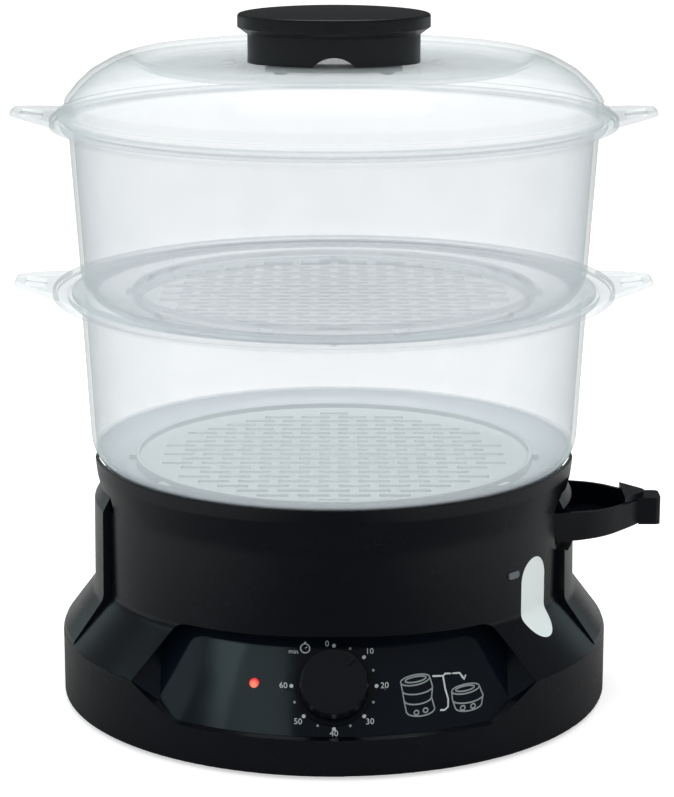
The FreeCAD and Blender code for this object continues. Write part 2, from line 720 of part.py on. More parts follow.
def screw(head_r, head_h, shank_r, length):
    """Pan head screw pointing up +Z, with the underside of its head at z = 0."""
    head = turned([(0, -head_h), (head_r, -head_h, head_h * 0.7), (head_r, 0), (0, 0)])
    slot = box(-head_r * 0.6, head_r * 0.6, -0.4, 0.4, -head_h - 1, -head_h * 0.5)
    cross = slot.copy()
    cross.rotate(V(0, 0, 0), V(0, 0, 1), 90)
    return head.cut([slot, cross]).fuse(cylinder(shank_r, -0.01, length)).removeSplitter()


def cover_screws():
    made = []
    for x, y in boss_places():
        one = screw(SCREW_HEAD_R, SCREW_HEAD_H, SCREW_R - FIT, COVER_SCREW_L)
        one.translate(V(x, y, COVER_Z - FIT))
        made.append(one)
    return Part.makeCompound(made)


# ---------------------------------------------------------------- control panel and timer

def pilot_azimuth():
    return math.degrees(math.asin(PILOT_X / DIAL_R))


def control_fascia():
    body = panel_prism(-FIT).common(behind_panel(0)).cut(behind_panel(PANEL_T))
    shaft_hole = on_dial(cylinder(SHAFT_HOLE_R, -20, 20))
    pilot_hole = on_dial(cylinder(PILOT_R + FIT, -20, 20), pilot_azimuth())
    body = body.cut([shaft_hole, pilot_hole])
    posts = []
    bores = []
    low = timer_levels()[0]
    for side in (-1, 1):
        x = side * TIMER_EAR_X
        post = on_dial(cylinder(TIMER_POST_R, low, 0, x, 0))
        posts.append(post.common(behind_panel(PANEL_T / 2)))
        bores.append(on_dial(cylinder(TIMER_PILOT_R, low - 2, -1.8, x, 0)))
    return body.fuse(posts).cut(bores).removeSplitter()


def dial_ring():
    """Raised ring that the knob turns over, its underside on the panel's cone."""
    body = on_dial(tube(KNOB_SKIRT_R, SHAFT_HOLE_R, -4, KNOB_RING_H))
    return body.cut(behind_panel(-TOUCH))


def timer_knob():
    base = KNOB_RING_H + LOOSE
    top = base + KNOB_H
    flare = base + KNOB_NECK_H
    body = turned([
        (0, base), (KNOB_NECK_R, base), (KNOB_NECK_R, flare), (KNOB_R, flare + 0.3, 0.5),
        (KNOB_TOP_R, top, 0.9), (0, top),
    ])
    groove = box(-POINTER_W / 2, POINTER_W / 2, *POINTER, top - 0.5, top + 2)
    groove.rotate(V(0, 0, 0), V(0, 0, 1), -POINTER_ANGLE)
    bore = cylinder(SHAFT_R + FIT / 2, -1, top - 2.5)
    relief = tube(KNOB_NECK_R - 1.8, SHAFT_R + 2.6, base - 1, top - 3.5)
    return on_dial(body.cut([groove, bore, relief]))


def timer_shaft():
    low = timer_levels()[1] + 3.0
    high = KNOB_RING_H + LOOSE + KNOB_H - 2.7
    return on_dial(cylinder(SHAFT_R, low, high))


def timer_levels():
    front = -PANEL_T - TIMER_STAND
    return front, front - TIMER_DEPTH


def timer_case():
    front, back = timer_levels()
    shell = cylinder(TIMER_R, back + TIMER_WALL, front)
    shell = shell.cut(cylinder(TIMER_R - TIMER_WALL, back - 1, front - TIMER_WALL))
    ears = []
    for side in (-1, 1):
        x0, x1 = sorted((side * (TIMER_R - 1), side * (TIMER_EAR_X + 3.5)))
        ears.append(box(x0, x1, -4, 4, front - TIMER_EAR_T, front))
    body = shell.fuse(ears)
    cuts = [cylinder(SHAFT_R + SHAFT_FIT, front - 5, front + 5)]
    for side in (-1, 1):
        cuts.append(cylinder(1.7, front - 10, front + 5, side * TIMER_EAR_X, 0))
    return on_dial(body.cut(cuts).removeSplitter())


def timer_cover():
    back = timer_levels()[1]
    return on_dial(cylinder(TIMER_R, back, back + TIMER_WALL - FIT))


def timer_screws():
    front = timer_levels()[0]
    made = []
    for side in (-1, 1):
        one = screw(2.8, 1.3, TIMER_PILOT_R - FIT / 2, 4.5)
        one.translate(V(side * TIMER_EAR_X, 0, front - TIMER_EAR_T - FIT / 2))
        made.append(on_dial(one))
    return Part.makeCompound(made)


def timer_cam():
    """Notched switch cam fixed on the shaft."""
    front = timer_levels()[0]
    body = tube(CAM_R, SHAFT_R + FIT / 2, front - 9, front - 6)
    notch = cylinder(2.6, front - 12, front - 2, 0, CAM_R + 0.6)
    notch.rotate(V(0, 0, 0), V(0, 0, 1), -POINTER_ANGLE)
    return on_dial(body.cut(notch))


def timer_contacts():
    """Two contact leaves on an insulating block beside the cam."""
    front = timer_levels()[0]
    block = box(CAM_R + 0.6, CAM_R + 4, -4, 4, front - 11.5, front - TIMER_WALL - 0.2)
    block = block.common(cylinder(TIMER_R - TIMER_WALL - FIT, front - 20, front))
    return on_dial(block)


def timer_spring():
    """Mainspring drum behind the cam."""
    front = timer_levels()[0]
    return on_dial(tube(13.0, SHAFT_R + LOOSE, front - 17.5, front - 12))


def timer_bell():
    back = timer_levels()[1]
    dome = turned([
        (0, back - FIT), (2, back - FIT), (2, back - 2.2), (BELL_R, back - 2.2), (BELL_R, back - 3.0),
        (BELL_R - 2, back - 5.0, 1.5), (0, back - 5.0),
    ])
    return on_dial(dome)


def pilot_lens():
    rim_r = PILOT_R + PILOT_RIM
    low = -PANEL_T - PILOT_RIM
    rest = -PANEL_T - PILOT_REST
    body = turned([
        (0, low), (rim_r, low), (rim_r, rest), (PILOT_R, rest), (PILOT_R, 0.9, 0.8), (0, 0.9),
    ])
    return on_dial(body, pilot_azimuth())


def pilot_lamp():
    bulb = turned([(0, -14.5), (PILOT_LAMP_R, -14.5), (PILOT_LAMP_R, -4.6, 1.6), (0, -4.6)])
    return on_dial(bulb, pilot_azimuth())


def pilot_holder():
    """Clip that carries the lamp behind its lens, its front edge on the back of the panel."""
    front = -PANEL_T - PILOT_REST
    body = tube(2 * PILOT_LAMP_R, PILOT_LAMP_R + FIT, -13.5, front)
    body = body.cut(cylinder(PILOT_R + PILOT_RIM + FIT, front - 1.1, 5))
    body = body.cut(box(-1.2, 1.2, 0, 6, -20, 5))
    return on_dial(body, pilot_azimuth())


# ---------------------------------------------------------------- level window

def wall_layer(inset_out, inset_in):
    """Shell between two insets from the base's outer surface, up to the lip's foot."""
    outside = turned(wall_profile(inset_out, TANK_R - inset_out, BASE_H))
    inside = turned(wall_profile(inset_in, TANK_R - inset_in, BASE_H + 1))
    return outside.cut(inside)


def above_floor(shape):
    return shape.common(cylinder(FAR, TANK_FLOOR_Z + FIT, FAR))


def water_window():
    seal_in = BASE_WALL + WINDOW_SEAL_T
    pane = wall_layer(WINDOW_SET_IN, seal_in + 0.01).common(window_prism(-FIT))
    flange = wall_layer(seal_in, seal_in + WINDOW_FLANGE_T).common(window_prism(WINDOW_FLANGE))
    return above_floor(pane.fuse(flange)).removeSplitter()


def window_seal():
    ring = window_prism(WINDOW_FLANGE).cut(window_prism(0.4))
    return above_floor(wall_layer(BASE_WALL + TOUCH, BASE_WALL + WINDOW_SEAL_T - TOUCH).common(ring))


def level_mark():
    return mark_prism(-0.05)


# ---------------------------------------------------------------- heater and wiring

def heater_plate():
    flange_z = TANK_FLOOR_Z + SEAL_T
    top_z = flange_z + HEATER_FLANGE_T
    body = turned([
        (0, HEATER_BLOCK_Z), (HEATER_BLOCK_R, HEATER_BLOCK_Z, 1), (HEATER_BLOCK_R, flange_z),
        (HEATER_FLANGE_R, flange_z), (HEATER_FLANGE_R, top_z, 1), (HEATER_DOME_R + 4, top_z, 3),
        (HEATER_DOME_R, top_z + HEATER_DOME_H, 3), (0, top_z + HEATER_DOME_H),
    ])
    studs = [cylinder(STUD_R, STUD_LOW_Z, flange_z + 1, x, y) for x, y in stud_places()]
    return body.fuse(studs).removeSplitter()


def heater_seal():
    body = tube(HEATER_FLANGE_R - 0.5, HEATER_HOLE_R, TANK_FLOOR_Z + TOUCH, TANK_FLOOR_Z + SEAL_T - TOUCH)
    return body.cut([cylinder(STUD_R + FIT, 0, FAR, x, y) for x, y in stud_places()])


def heater_nuts():
    made = []
    top = FLOOR_UNDER_Z - FIT / 2
    for x, y in stud_places():
        corners = []
        for i in range(6):
            a = math.radians(60 * i)
            corners.append((x + NUT_R * math.cos(a), y + NUT_R * math.sin(a)))
        body = plate(corners, top - NUT_H, NUT_H)
        made.append(body.cut(cylinder(STUD_R + TOUCH, 0, FAR, x, y)))
    return Part.makeCompound(made)


def heater_element():
    """Tubular element, most of a circle, clamped under the heater plate, with straight tails."""
    half = math.radians(ELEMENT_GAP_DEG / 2)
    start = V(ELEMENT_R * math.sin(half), ELEMENT_R * math.cos(half), ELEMENT_Z)
    end = V(-start.x, start.y, ELEMENT_Z)
    arc = Part.Arc(start, V(0, -ELEMENT_R, ELEMENT_Z), end).toShape()
    ring = Part.Wire([Part.makeCircle(ELEMENT_TUBE_R, start, V(math.cos(half), -math.sin(half), 0))])
    body = Part.Wire([arc]).makePipeShell([ring], True, False)
    tails = []
    for foot, side in ((start, 1), (end, -1)):
        way = V(-side * math.cos(half) * 0.35, 1, 0).normalize()
        tails.append(Part.makeSphere(ELEMENT_TUBE_R, foot))
        tails.append(Part.makeCylinder(ELEMENT_TUBE_R, ELEMENT_TAIL, foot, way))
        tails.append(Part.makeCylinder(ELEMENT_PIN_R, ELEMENT_TAIL + ELEMENT_PIN_L, foot, way))
    return body.fuse(tails).removeSplitter()


def thermostat():
    top = HEATER_BLOCK_Z - FIT / 2
    can = turned([(0, top - THERMOSTAT_H), (THERMOSTAT_R, top - THERMOSTAT_H, 0.6),
                  (THERMOSTAT_R, top), (0, top)])
    tabs = []
    for side in (-1, 1):
        x = side * 4.0
        tabs.append(box(x - 0.4, x + 0.4, -3, 3, top - THERMOSTAT_H - 7, top - THERMOSTAT_H + 1))
    return can.fuse(tabs).removeSplitter()


def thermal_fuse():
    """Fuse body in a saddle that hangs from the heater plate."""
    z = HEATER_BLOCK_Z - FUSE_R - 0.6
    y = -ELEMENT_R + ELEMENT_TUBE_R + FUSE_R + 1.6
    body = Part.makeCylinder(FUSE_R, FUSE_L, V(-FUSE_L / 2, y, z), V(1, 0, 0))
    saddle = box(-2.5, 2.5, y - FUSE_R - 0.6, y + FUSE_R + 0.6, z, HEATER_BLOCK_Z - FIT / 2)
    return body.fuse(saddle).removeSplitter()


def terminal_block():
    sx, sy, sz = BLOCK_SIZE
    base = COVER_Z + COVER_T + FIT / 2
    body = box(-sx / 2, sx / 2, BLOCK_Y - sy / 2, BLOCK_Y + sy / 2, base, base + sz)
    cuts = []
    for i in (-1, 0, 1):
        x = i * sx / 3
        low = V(x, BLOCK_Y - sy / 2 - 2, base + BLOCK_WIRE_Z)
        cuts.append(Part.makeCylinder(2.0, sy + 4, low, V(0, 1, 0)))
        cuts.append(cylinder(2.2, base + 7.5, base + sz + 2, x, BLOCK_Y))
    return body.cut(cuts)


def cord_inlet():
    """Bush in the rear skirt that a round cord would pass through."""
    wall_in = BASE_R - BASE_WALL
    start = V(0, wall_in - (INLET_L - BASE_WALL - INLET_FLANGE_T), INLET_Z)
    sleeve = Part.makeCylinder(INLET_SLEEVE_R, INLET_L - 0.5, start, V(0, 1, 0))
    flange = Part.makeCylinder(INLET_FLANGE_R, INLET_FLANGE_T, V(0, BASE_R + 0.05, INLET_Z), V(0, 1, 0))
    lock = Part.makeCylinder(INLET_FLANGE_R - 1, 2.0, V(0, wall_in - 3.6, INLET_Z), V(0, 1, 0))
    bore = Part.makeCylinder(INLET_BORE_R, 60, V(0, wall_in - 40, INLET_Z), V(0, 1, 0))
    return sleeve.fuse([flange, lock]).cut(bore).removeSplitter()


def lead_wires():
    """Insulated leads from the terminal block to the element, the timer and the lamp."""
    z = COVER_Z + COVER_T + BLOCK_WIRE_Z + FIT / 2
    front_y = BLOCK_Y - BLOCK_SIZE[1] / 2 - FIT
    third = BLOCK_SIZE[0] / 3
    side = WIRE_SIDE_X
    tail_y = ELEMENT_R * math.cos(math.radians(ELEMENT_GAP_DEG / 2)) + ELEMENT_TAIL + 12
    routes = [
        [V(third, front_y, z), V(third, tail_y, z), V(third - 2, tail_y - 14, z + 11.5),
         V(third - 2, tail_y - 12, ELEMENT_Z - 8)],
        [V(-third, front_y, z), V(-third, tail_y - 8, z), V(-side, 20, z),
         V(-side, 4 - side, z), V(-TIMER_EAR_X, -CHAMBER_R, z + 4)],
        [V(0, front_y, z), V(0, tail_y + 9, z), V(side, 24, z),
         V(side, 6 - side, z), V(TIMER_EAR_X, -CHAMBER_R, z + 4)],
    ]
    return Part.makeCompound([pipe(route, WIRE_R, WIRE_BEND) for route in routes])


# ---------------------------------------------------------------- filler spout

def spout_wire(grow):
    """Plan of the trough: straight root, cheeks drawing in to a blunt nose."""
    half = SPOUT_HALF_W
    outline = [
        (SPOUT_ROOT_X, -half), (SPOUT_SHOULDER_X, -half, 2),
        (SPOUT_MID[0], -SPOUT_MID[1], 30), (SPOUT_CHEEK[0], -SPOUT_CHEEK[1], 12),
        (SPOUT_POINT_X, 0, 6),
        (SPOUT_CHEEK[0], SPOUT_CHEEK[1], 12), (SPOUT_MID[0], SPOUT_MID[1], 30),
        (SPOUT_SHOULDER_X, half, 2), (SPOUT_ROOT_X, half),
    ]
    wire = rounded_wire(outline, lambda u, v: V(u, v, 0))
    return wire.makeOffset2D(grow) if grow else wire


def spout_block(grow, z0, z1):
    block = Part.Face(spout_wire(grow)).extrude(V(0, 0, z1 - z0))
    block.translate(V(0, 0, z0))
    return block


def keel_wedge(lift):
    """What is cut away below the trough's rising underside, or lift above it."""
    z = SPOUT_Z[0] + lift
    reach = TIP_X[1] + 1
    points = [V(SPOUT_KEEL_X, -FAR, z), V(reach, -FAR, z + SPOUT_KEEL_SLOPE * (reach - SPOUT_KEEL_X)),
              V(reach, -FAR, z - 1), V(SPOUT_KEEL_X, -FAR, z - 1)]
    return Part.Face(Part.makePolygon(points + points[:1])).extrude(V(0, 2 * FAR, 0))


def filler_spout():
    low, high = SPOUT_Z
    inner_half = SPOUT_HALF_W - SPOUT_WALL
    mouth = box(SPOUT_ROOT_X - 1, SPOUT_SHOULDER_X, -inner_half, inner_half, low + SPOUT_WALL, high + 1)
    hollow = spout_block(-SPOUT_WALL, low + SPOUT_WALL, high + 1).cut(keel_wedge(SPOUT_WALL))
    return spout_block(0, low, high).cut(keel_wedge(0)).cut([hollow, mouth])


def spout_tip():
    """A plate that covers the nose, plugged into it, with a block outside it to pull on."""
    rim = SPOUT_Z[1] + FIT / 2
    nose = box(TIP_X[0], FAR, -FAR, FAR, 0, FAR)
    cover = spout_block(-TIP_STEP, rim, TIP_TOP_Z).common(nose)
    plug = spout_block(-SPOUT_WALL - FIT / 2, rim - TIP_PLUG_H, rim + 0.5).common(nose)
    low, high = TIP_BLOCK_Z
    half = TIP_HALF_W
    outline = [(TIP_BLOCK_X, -half), (TIP_X[1], -half, TIP_CORNER), (TIP_X[1], half, TIP_CORNER),
               (TIP_BLOCK_X, half)]
    block = plate(outline, low, high - low).cut(spout_block(FIT / 2, low - 1, rim))
    return cover.fuse([plug, block]).removeSplitter()


# ---------------------------------------------------------------- inside the tank

def steam_ring():
    low = TANK_FLOOR_Z + LOOSE
    high = low + RING_H
    body = turned([
        (RING_R - RING_WALL, low), (RING_R, low), (RING_R, high, 2),
        (RING_CAP_IN_R, high, 1), (RING_CAP_IN_R, high - RING_WALL),
        (RING_R - RING_WALL, high - RING_WALL),
    ])
    cuts = []
    width, height = RING_NOTCH
    for i in range(RING_NOTCHES):
        notch = box(-width / 2, width / 2, -RING_R - 5, -RING_R + 8, low - 1, low + height)
        cuts.append(turn_to(notch, 360 / RING_NOTCHES * (i + 0.5)))
    return body.cut(cuts)


def drip_tray():
    low = TRAY_FLOOR_Z
    flange_top = TRAY_FLANGE_Z + TRAY_T
    body = turned([
        (CHIMNEY_R - TRAY_T, low), (TRAY_R, low, 4), (TRAY_R, TRAY_FLANGE_Z),
        (TRAY_FLANGE_R, TRAY_FLANGE_Z), (TRAY_FLANGE_R, flange_top, 0.5),
        (TRAY_R - TRAY_T, flange_top, 0.8), (TRAY_R - TRAY_T, low + TRAY_T, 3),
        (CHIMNEY_R, low + TRAY_T, 2), (CHIMNEY_R, CHIMNEY_TOP_Z), (CHIMNEY_R - TRAY_T, CHIMNEY_TOP_Z),
    ])
    cap_top = flange_top - 0.4
    cap = turned([(0, cap_top - TRAY_T), (CHIMNEY_CAP_R, cap_top - TRAY_T, 0.4),
                  (CHIMNEY_CAP_R, cap_top, 0.4), (0, cap_top)])
    ribs = []
    for i in range(CHIMNEY_RIBS):
        rib = box(-0.8, 0.8, -CHIMNEY_R + 0.2, -CHIMNEY_R + 5, low, cap_top - 0.5)
        ribs.append(turn_to(rib, 360 / CHIMNEY_RIBS * i + 45))
    return body.fuse([cap] + ribs).removeSplitter()


# ---------------------------------------------------------------- bowls and grids

def ear_outline(inset):
    tip = EAR_TIP_X - inset
    mid = EAR_MID_X - inset * 0.8
    root_w = EAR_ROOT_W - inset * 1.6
    mid_w = EAR_MID_W - inset * 1.2
    tip_w = EAR_TIP_W - inset * 0.6
    corner = EAR_CORNER - inset
    return [
        (EAR_ROOT_X, -root_w), (mid, -mid_w, EAR_BEND), (tip, -tip_w, corner),
        (tip, tip_w, corner), (mid, mid_w, EAR_BEND), (EAR_ROOT_X, root_w),
    ]


def ear(top_z):
    """Ear at +X: a thin top that slopes up, a turned-down edge and a narrow slot."""
    low = top_z - EAR_EDGE_H
    body = plate(ear_outline(0), low, EAR_EDGE_H)
    body = body.cut(plate(ear_outline(EAR_WALL), low - 1, EAR_EDGE_H + 1 - RIM_T))
    body.rotate(V(EAR_HINGE_X, 0, top_z), V(0, 1, 0), -EAR_RISE_DEG)
    x0, x1 = EAR_SLOT_X
    half = EAR_SLOT_W
    corner = EAR_SLOT_CORNER
    slot = [(x0, -half, corner), (x1, -half, corner), (x1, half, corner), (x0, half, corner)]
    return body.cut(plate(slot, top_z - 10, 20))


def ears(z):
    """Both ears of a bowl, outside its rim."""
    right = ear(z + BOWL_H).cut(cylinder(RIM_R + TOUCH, 0, FAR))
    return Part.makeCompound([right, right.mirror(V(0, 0, 0), V(1, 0, 0))])


def bowl(z, foot_r, top_r, collar_r, rib_r):
    """Open bowl with a floor ledge and a stepped rim. rib_r seats it on the bowl below.

    Returned as floor, wall and rim, which meet face to face.
    """
    rim = z + BOWL_H
    shelf = rim - RIM_SHELF
    wall_in = top_r - BOWL_WALL
    t = BOWL_WALL
    body = turned([
        (FLOOR_HOLE_R, z), (foot_r, z, FLOOR_CORNER), (top_r, shelf - 5.0, 4),
        (collar_r + RIM_T, shelf - RIM_T, 2.0), (collar_r + RIM_T, rim - RIM_T, 0.4),
        (RIM_R - RIM_T, rim - RIM_T, 0.4), (RIM_R - RIM_T, rim - RIM_DROP),
        (RIM_R, rim - RIM_DROP), (RIM_R, rim, 1.0), (collar_r, rim, 0.6),
        (collar_r, shelf, 0.4), (wall_in, shelf, 0.8),
        (foot_r - t, z + t, FLOOR_CORNER - t), (FLOOR_HOLE_R, z + t),
    ])
    if rib_r:
        under = z + NEST - RIM_SHELF + LOOSE
        rib = cylinder(rib_r, under, under + SEAT_RIB_T)
        body = body.fuse(rib.cut(turned([
            (0, z + t / 2), (foot_r - t / 2, z + t / 2, FLOOR_CORNER - t / 2), (top_r - t / 2, shelf),
            (0, shelf),
        ]))).removeSplitter()
    drains = []
    for i in range(DRAIN_COUNT):
        x, y = place_at(DRAIN_PLACE_R, 360 / DRAIN_COUNT * i)
        drains.append(cylinder(DRAIN_R, z - 1, z + 10, x, y))
    body = body.cut(drains)
    levels = [z - 1, z + BOWL_FLOOR_H, rim - BOWL_RIM_H, rim + 1]
    return [body.common(cylinder(FAR, *level)) for level in zip(levels, levels[1:])]


def bowl_nodes(name, *sizes):
    floor, wall, rim = bowl(*sizes)
    return {name: wall, name + "_floor": floor, name + "_rim": rim, name + "_ears": ears(sizes[0])}


def lower_bowl():
    return bowl_nodes("lower_bowl", LOWER_BOWL_Z, LOWER_FOOT_R, LOWER_TOP_R, LOWER_COLLAR_R, 0)


def upper_bowl():
    return bowl_nodes("upper_bowl", UPPER_BOWL_Z, UPPER_FOOT_R, UPPER_TOP_R, UPPER_COLLAR_R,
                      LOWER_COLLAR_R - LOOSE)


def floor_grid(bowl_z):
    """Slotted floor that rests on the bowl's ledge, with a raised edge and clip tabs."""
    low = bowl_z + BOWL_WALL + LOOSE
    top = low + GRID_T
    body = turned([
        (0, low), (GRID_R, low, 0.4), (GRID_R, top + GRID_EDGE_H, 0.6),
        (GRID_R - GRID_T, top + GRID_EDGE_H, 0.6), (GRID_R - GRID_T, top, 0.8), (0, top),
    ])
    tabs = []
    reach, width, thick = GRID_TAB
    for i in range(GRID_TABS):
        tab = box(-width / 2, width / 2, -GRID_R - reach, -GRID_R + 1, low + LOOSE, low + LOOSE + thick)
        tabs.append(turn_to(tab, 360 / GRID_TABS * (i + 0.5)))
    slots = []
    length, width = GRID_SLOT
    limit = GRID_R - GRID_MARGIN
    rows = int(limit / GRID_PITCH[1])
    columns = int(limit / GRID_PITCH[0]) + 1
    for row in range(-rows, rows + 1):
        shift = GRID_PITCH[0] / 2 if row % 2 else 0.0
        for column in range(-columns, columns + 1):
            x = column * GRID_PITCH[0] + shift
            y = row * GRID_PITCH[1]
            if math.hypot(abs(x) + length / 2, abs(y) + width / 2) < limit:
                slots.append(box(x - length / 2, x + length / 2, y - width / 2, y + width / 2,
                                 low - 1, top + 1))
    return body.fuse(tabs).cut(slots).removeSplitter()


# ---------------------------------------------------------------- lid

def lid():
    seat = LID_SEAT_Z
    t = LID_WALL
    levels = [(r, LID_Z + h) for r, h in (LID_KNEE, LID_BROW, LID_CROWN, LID_CREASE, LID_DISH)]
    knee, brow, crown, crease, dish = levels
    skirt_r = UPPER_COLLAR_R - LOOSE
    body = turned([
        (skirt_r - t, seat - LID_SKIRT_DROP), (skirt_r, seat - LID_SKIRT_DROP), (skirt_r, seat),
        (LID_FLANGE_R, seat), (LID_FLANGE_R, seat + LID_FLANGE_T, 0.8),
        (LID_WALL_R, seat + LID_FLANGE_T, 0.8), (LID_WALL_R, LID_Z + LID_WALL_TOP, 2.5),
        (knee[0], knee[1], 8), (brow[0], brow[1], 10), (crown[0], crown[1], 16),
        (crease[0], crease[1], 1.2), (dish[0], dish[1], 3.0), (0, dish[1]),
        (0, dish[1] - t), (dish[0] - 1, dish[1] - t, 3.0), (crease[0], crease[1] - t - 0.6, 1.0),
        (crown[0] - 0.7, crown[1] - t * 1.1, 14), (brow[0] - 1.0, brow[1] - t * 1.15, 8),
        (knee[0] - 1.5, knee[1] - t * 0.95, 6), (LID_WALL_R - t, LID_Z + LID_WALL_TOP - 0.8, 2.0),
        (LID_WALL_R - t, seat + 0.4), (skirt_r - t, seat + 0.4),
    ])
    half_x, half_y, height = LID_OVAL
    bumps = []
    for side in (-1, 1):
        bump = ellipse_block(half_x, half_y, dish[1] - 0.5, dish[1] + height)
        bump.translate(V(side * LID_OVAL_X, 0, 0))
        bumps.append(bump)
    cuts = []
    for side in (-1, 1):
        cuts.append(cylinder(SCREW_HOLE_R, 0, FAR, side * HANDLE_SCREW_X, 0))
        half_l = VENT_SLOT[0] / 2
        half_w = VENT_SLOT[1] / 2
        y = side * VENT_SLOT_Y
        corner = VENT_SLOT_CORNER
        cuts.append(plate([
            (-half_l, y - half_w, corner), (half_l, y - half_w, corner),
            (half_l, y + half_w, corner), (-half_l, y + half_w, corner),
        ], dish[1] - 20, 40))
    return body.fuse(bumps).cut(cuts).removeSplitter()


def lid_handle():
    base = PLATEAU_Z + FIT / 2
    neck = base + HANDLE_NECK_H
    under = base + HANDLE_UNDER_H
    top = base + HANDLE_H
    body = ellipse_block(*HANDLE_BODY, base, neck + 0.01)
    lower_rim = Part.Wire(ellipse_face(*HANDLE_BODY, neck).Edges)
    upper_rim = Part.Wire(ellipse_face(*HANDLE_TOP, under).Edges)
    slope = Part.makeLoft([lower_rim, upper_rim], True, True)
    crown_r = (HANDLE_TOP[0] ** 2 + HANDLE_CROWN ** 2) / (2 * HANDLE_CROWN)
    cap = ellipse_block(*HANDLE_TOP, under, top + 1)
    cap = cap.common(Part.makeSphere(crown_r, V(0, 0, top - crown_r)))
    rim_edges = [e for e in cap.Edges if e.BoundBox.ZMin > under + 1 and e.Length > HANDLE_TOP[1]]
    cap = cap.makeFillet(HANDLE_EDGE, rim_edges)
    body = fuse_all([body, slope, cap])
    hollow = ellipse_block(HANDLE_BODY[0] - HANDLE_WALL, HANDLE_BODY[1] - HANDLE_WALL, base - 1, neck - 1)
    bosses = [cylinder(HANDLE_BOSS_R, base, neck, s * HANDLE_SCREW_X, 0) for s in (-1, 1)]
    body = body.cut(hollow).fuse(bosses)
    arch_r = ((ARCH_W / 2) ** 2 + ARCH_H ** 2) / (2 * ARCH_H)
    arch = Part.makeCylinder(arch_r, FAR, V(0, -FAR / 2, base + ARCH_H - arch_r), V(0, 1, 0))
    bores = [cylinder(SCREW_R, base - 1, base + 10, s * HANDLE_SCREW_X, 0) for s in (-1, 1)]
    return body.cut([arch] + bores).removeSplitter()


def handle_retainer():
    """Bar under the lid that spreads the pull of the handle screws."""
    top = PLATEAU_Z - LID_WALL - FIT / 2
    half_x, half_y, thick = RETAINER
    body = ellipse_block(half_x, half_y, top - thick, top)
    return body.cut([cylinder(SCREW_HOLE_R, 0, FAR, s * HANDLE_SCREW_X, 0) for s in (-1, 1)])


def handle_screws():
    made = []
    for side in (-1, 1):
        one = screw(SCREW_HEAD_R, SCREW_HEAD_H, SCREW_R - FIT, HANDLE_SCREW_L)
        head_z = PLATEAU_Z - LID_WALL - RETAINER[2] - FIT
        one.translate(V(side * HANDLE_SCREW_X, 0, head_z))
        made.append(one)
    return Part.makeCompound(made)


# ---------------------------------------------------------------- export

def build_all():
    return {
        **base_nodes(),
        "bottom_cover": bottom_cover(),
        "feet": feet(),
        "cover_screws": cover_screws(),
        "control_fascia": control_fascia(),
        "dial_ring": dial_ring(),
        "timer_knob": timer_knob(),
        "timer_shaft": timer_shaft(),
        "timer_case": timer_case(),
        "timer_cover": timer_cover(),
        "timer_screws": timer_screws(),
        "timer_cam": timer_cam(),
        "timer_contacts": timer_contacts(),
        "timer_spring": timer_spring(),
        "timer_bell": timer_bell(),
        "pilot_lens": pilot_lens(),
        "pilot_lamp": pilot_lamp(),
        "pilot_holder": pilot_holder(),
        "water_window": water_window(),
        "window_seal": window_seal(),
        "level_mark": level_mark(),
        "heater_plate": heater_plate(),
        "heater_seal": heater_seal(),
        "heater_nuts": heater_nuts(),
        "heater_element": heater_element(),
        "thermostat": thermostat(),
        "thermal_fuse": thermal_fuse(),
        "terminal_block": terminal_block(),
        "cord_inlet": cord_inlet(),
        "lead_wires": lead_wires(),
        "filler_spout": filler_spout(),
        "spout_tip": spout_tip(),
        "steam_ring": steam_ring(),
        "drip_tray": drip_tray(),
        **lower_bowl(),
        "lower_grid": floor_grid(LOWER_BOWL_Z),
        **upper_bowl(),
        "upper_grid": floor_grid(UPPER_BOWL_Z),
        "lid": lid(),
        "lid_handle": lid_handle(),
        "handle_retainer": handle_retainer(),
        "handle_screws": handle_screws(),
    }


os.makedirs("parts", exist_ok=True)
for node, shape in build_all().items():
    bounds = shape.BoundBox
    print(f"{node:18s} solids {len(shape.Solids):2d} valid {shape.isValid()} "
          f"volume {shape.Volume / 1000:8.2f} cm3  z {bounds.ZMin:7.2f} to {bounds.ZMax:7.2f}")
    shape.exportStep(os.path.join("parts", node + ".step"))
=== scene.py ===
"""Finishes, printing, clear bowls and studio for the two-tier electric food steamer. Metres."""
import json
import math

import bmesh
import bpy
from mathutils import Matrix, Vector


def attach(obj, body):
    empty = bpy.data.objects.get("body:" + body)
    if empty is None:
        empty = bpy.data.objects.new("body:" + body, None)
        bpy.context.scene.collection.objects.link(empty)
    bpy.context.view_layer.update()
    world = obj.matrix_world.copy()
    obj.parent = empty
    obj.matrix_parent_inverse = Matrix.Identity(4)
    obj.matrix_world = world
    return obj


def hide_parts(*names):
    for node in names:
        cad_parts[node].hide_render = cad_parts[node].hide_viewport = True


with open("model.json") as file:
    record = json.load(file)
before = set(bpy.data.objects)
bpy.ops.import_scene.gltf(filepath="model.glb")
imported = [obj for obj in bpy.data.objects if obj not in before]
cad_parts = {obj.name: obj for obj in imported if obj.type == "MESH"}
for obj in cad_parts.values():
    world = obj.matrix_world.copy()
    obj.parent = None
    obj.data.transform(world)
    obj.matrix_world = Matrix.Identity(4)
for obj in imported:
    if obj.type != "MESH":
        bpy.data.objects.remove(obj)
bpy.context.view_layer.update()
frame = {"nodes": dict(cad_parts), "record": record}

MM = 0.001
RECORD = frame["record"]
SLOT_OF = {part["node"]: part["material_slot"] for part in RECORD["subparts"]}
BODY_OF = {node: body for body, members in RECORD["behaviour"]["bodies"].items() for node in members}

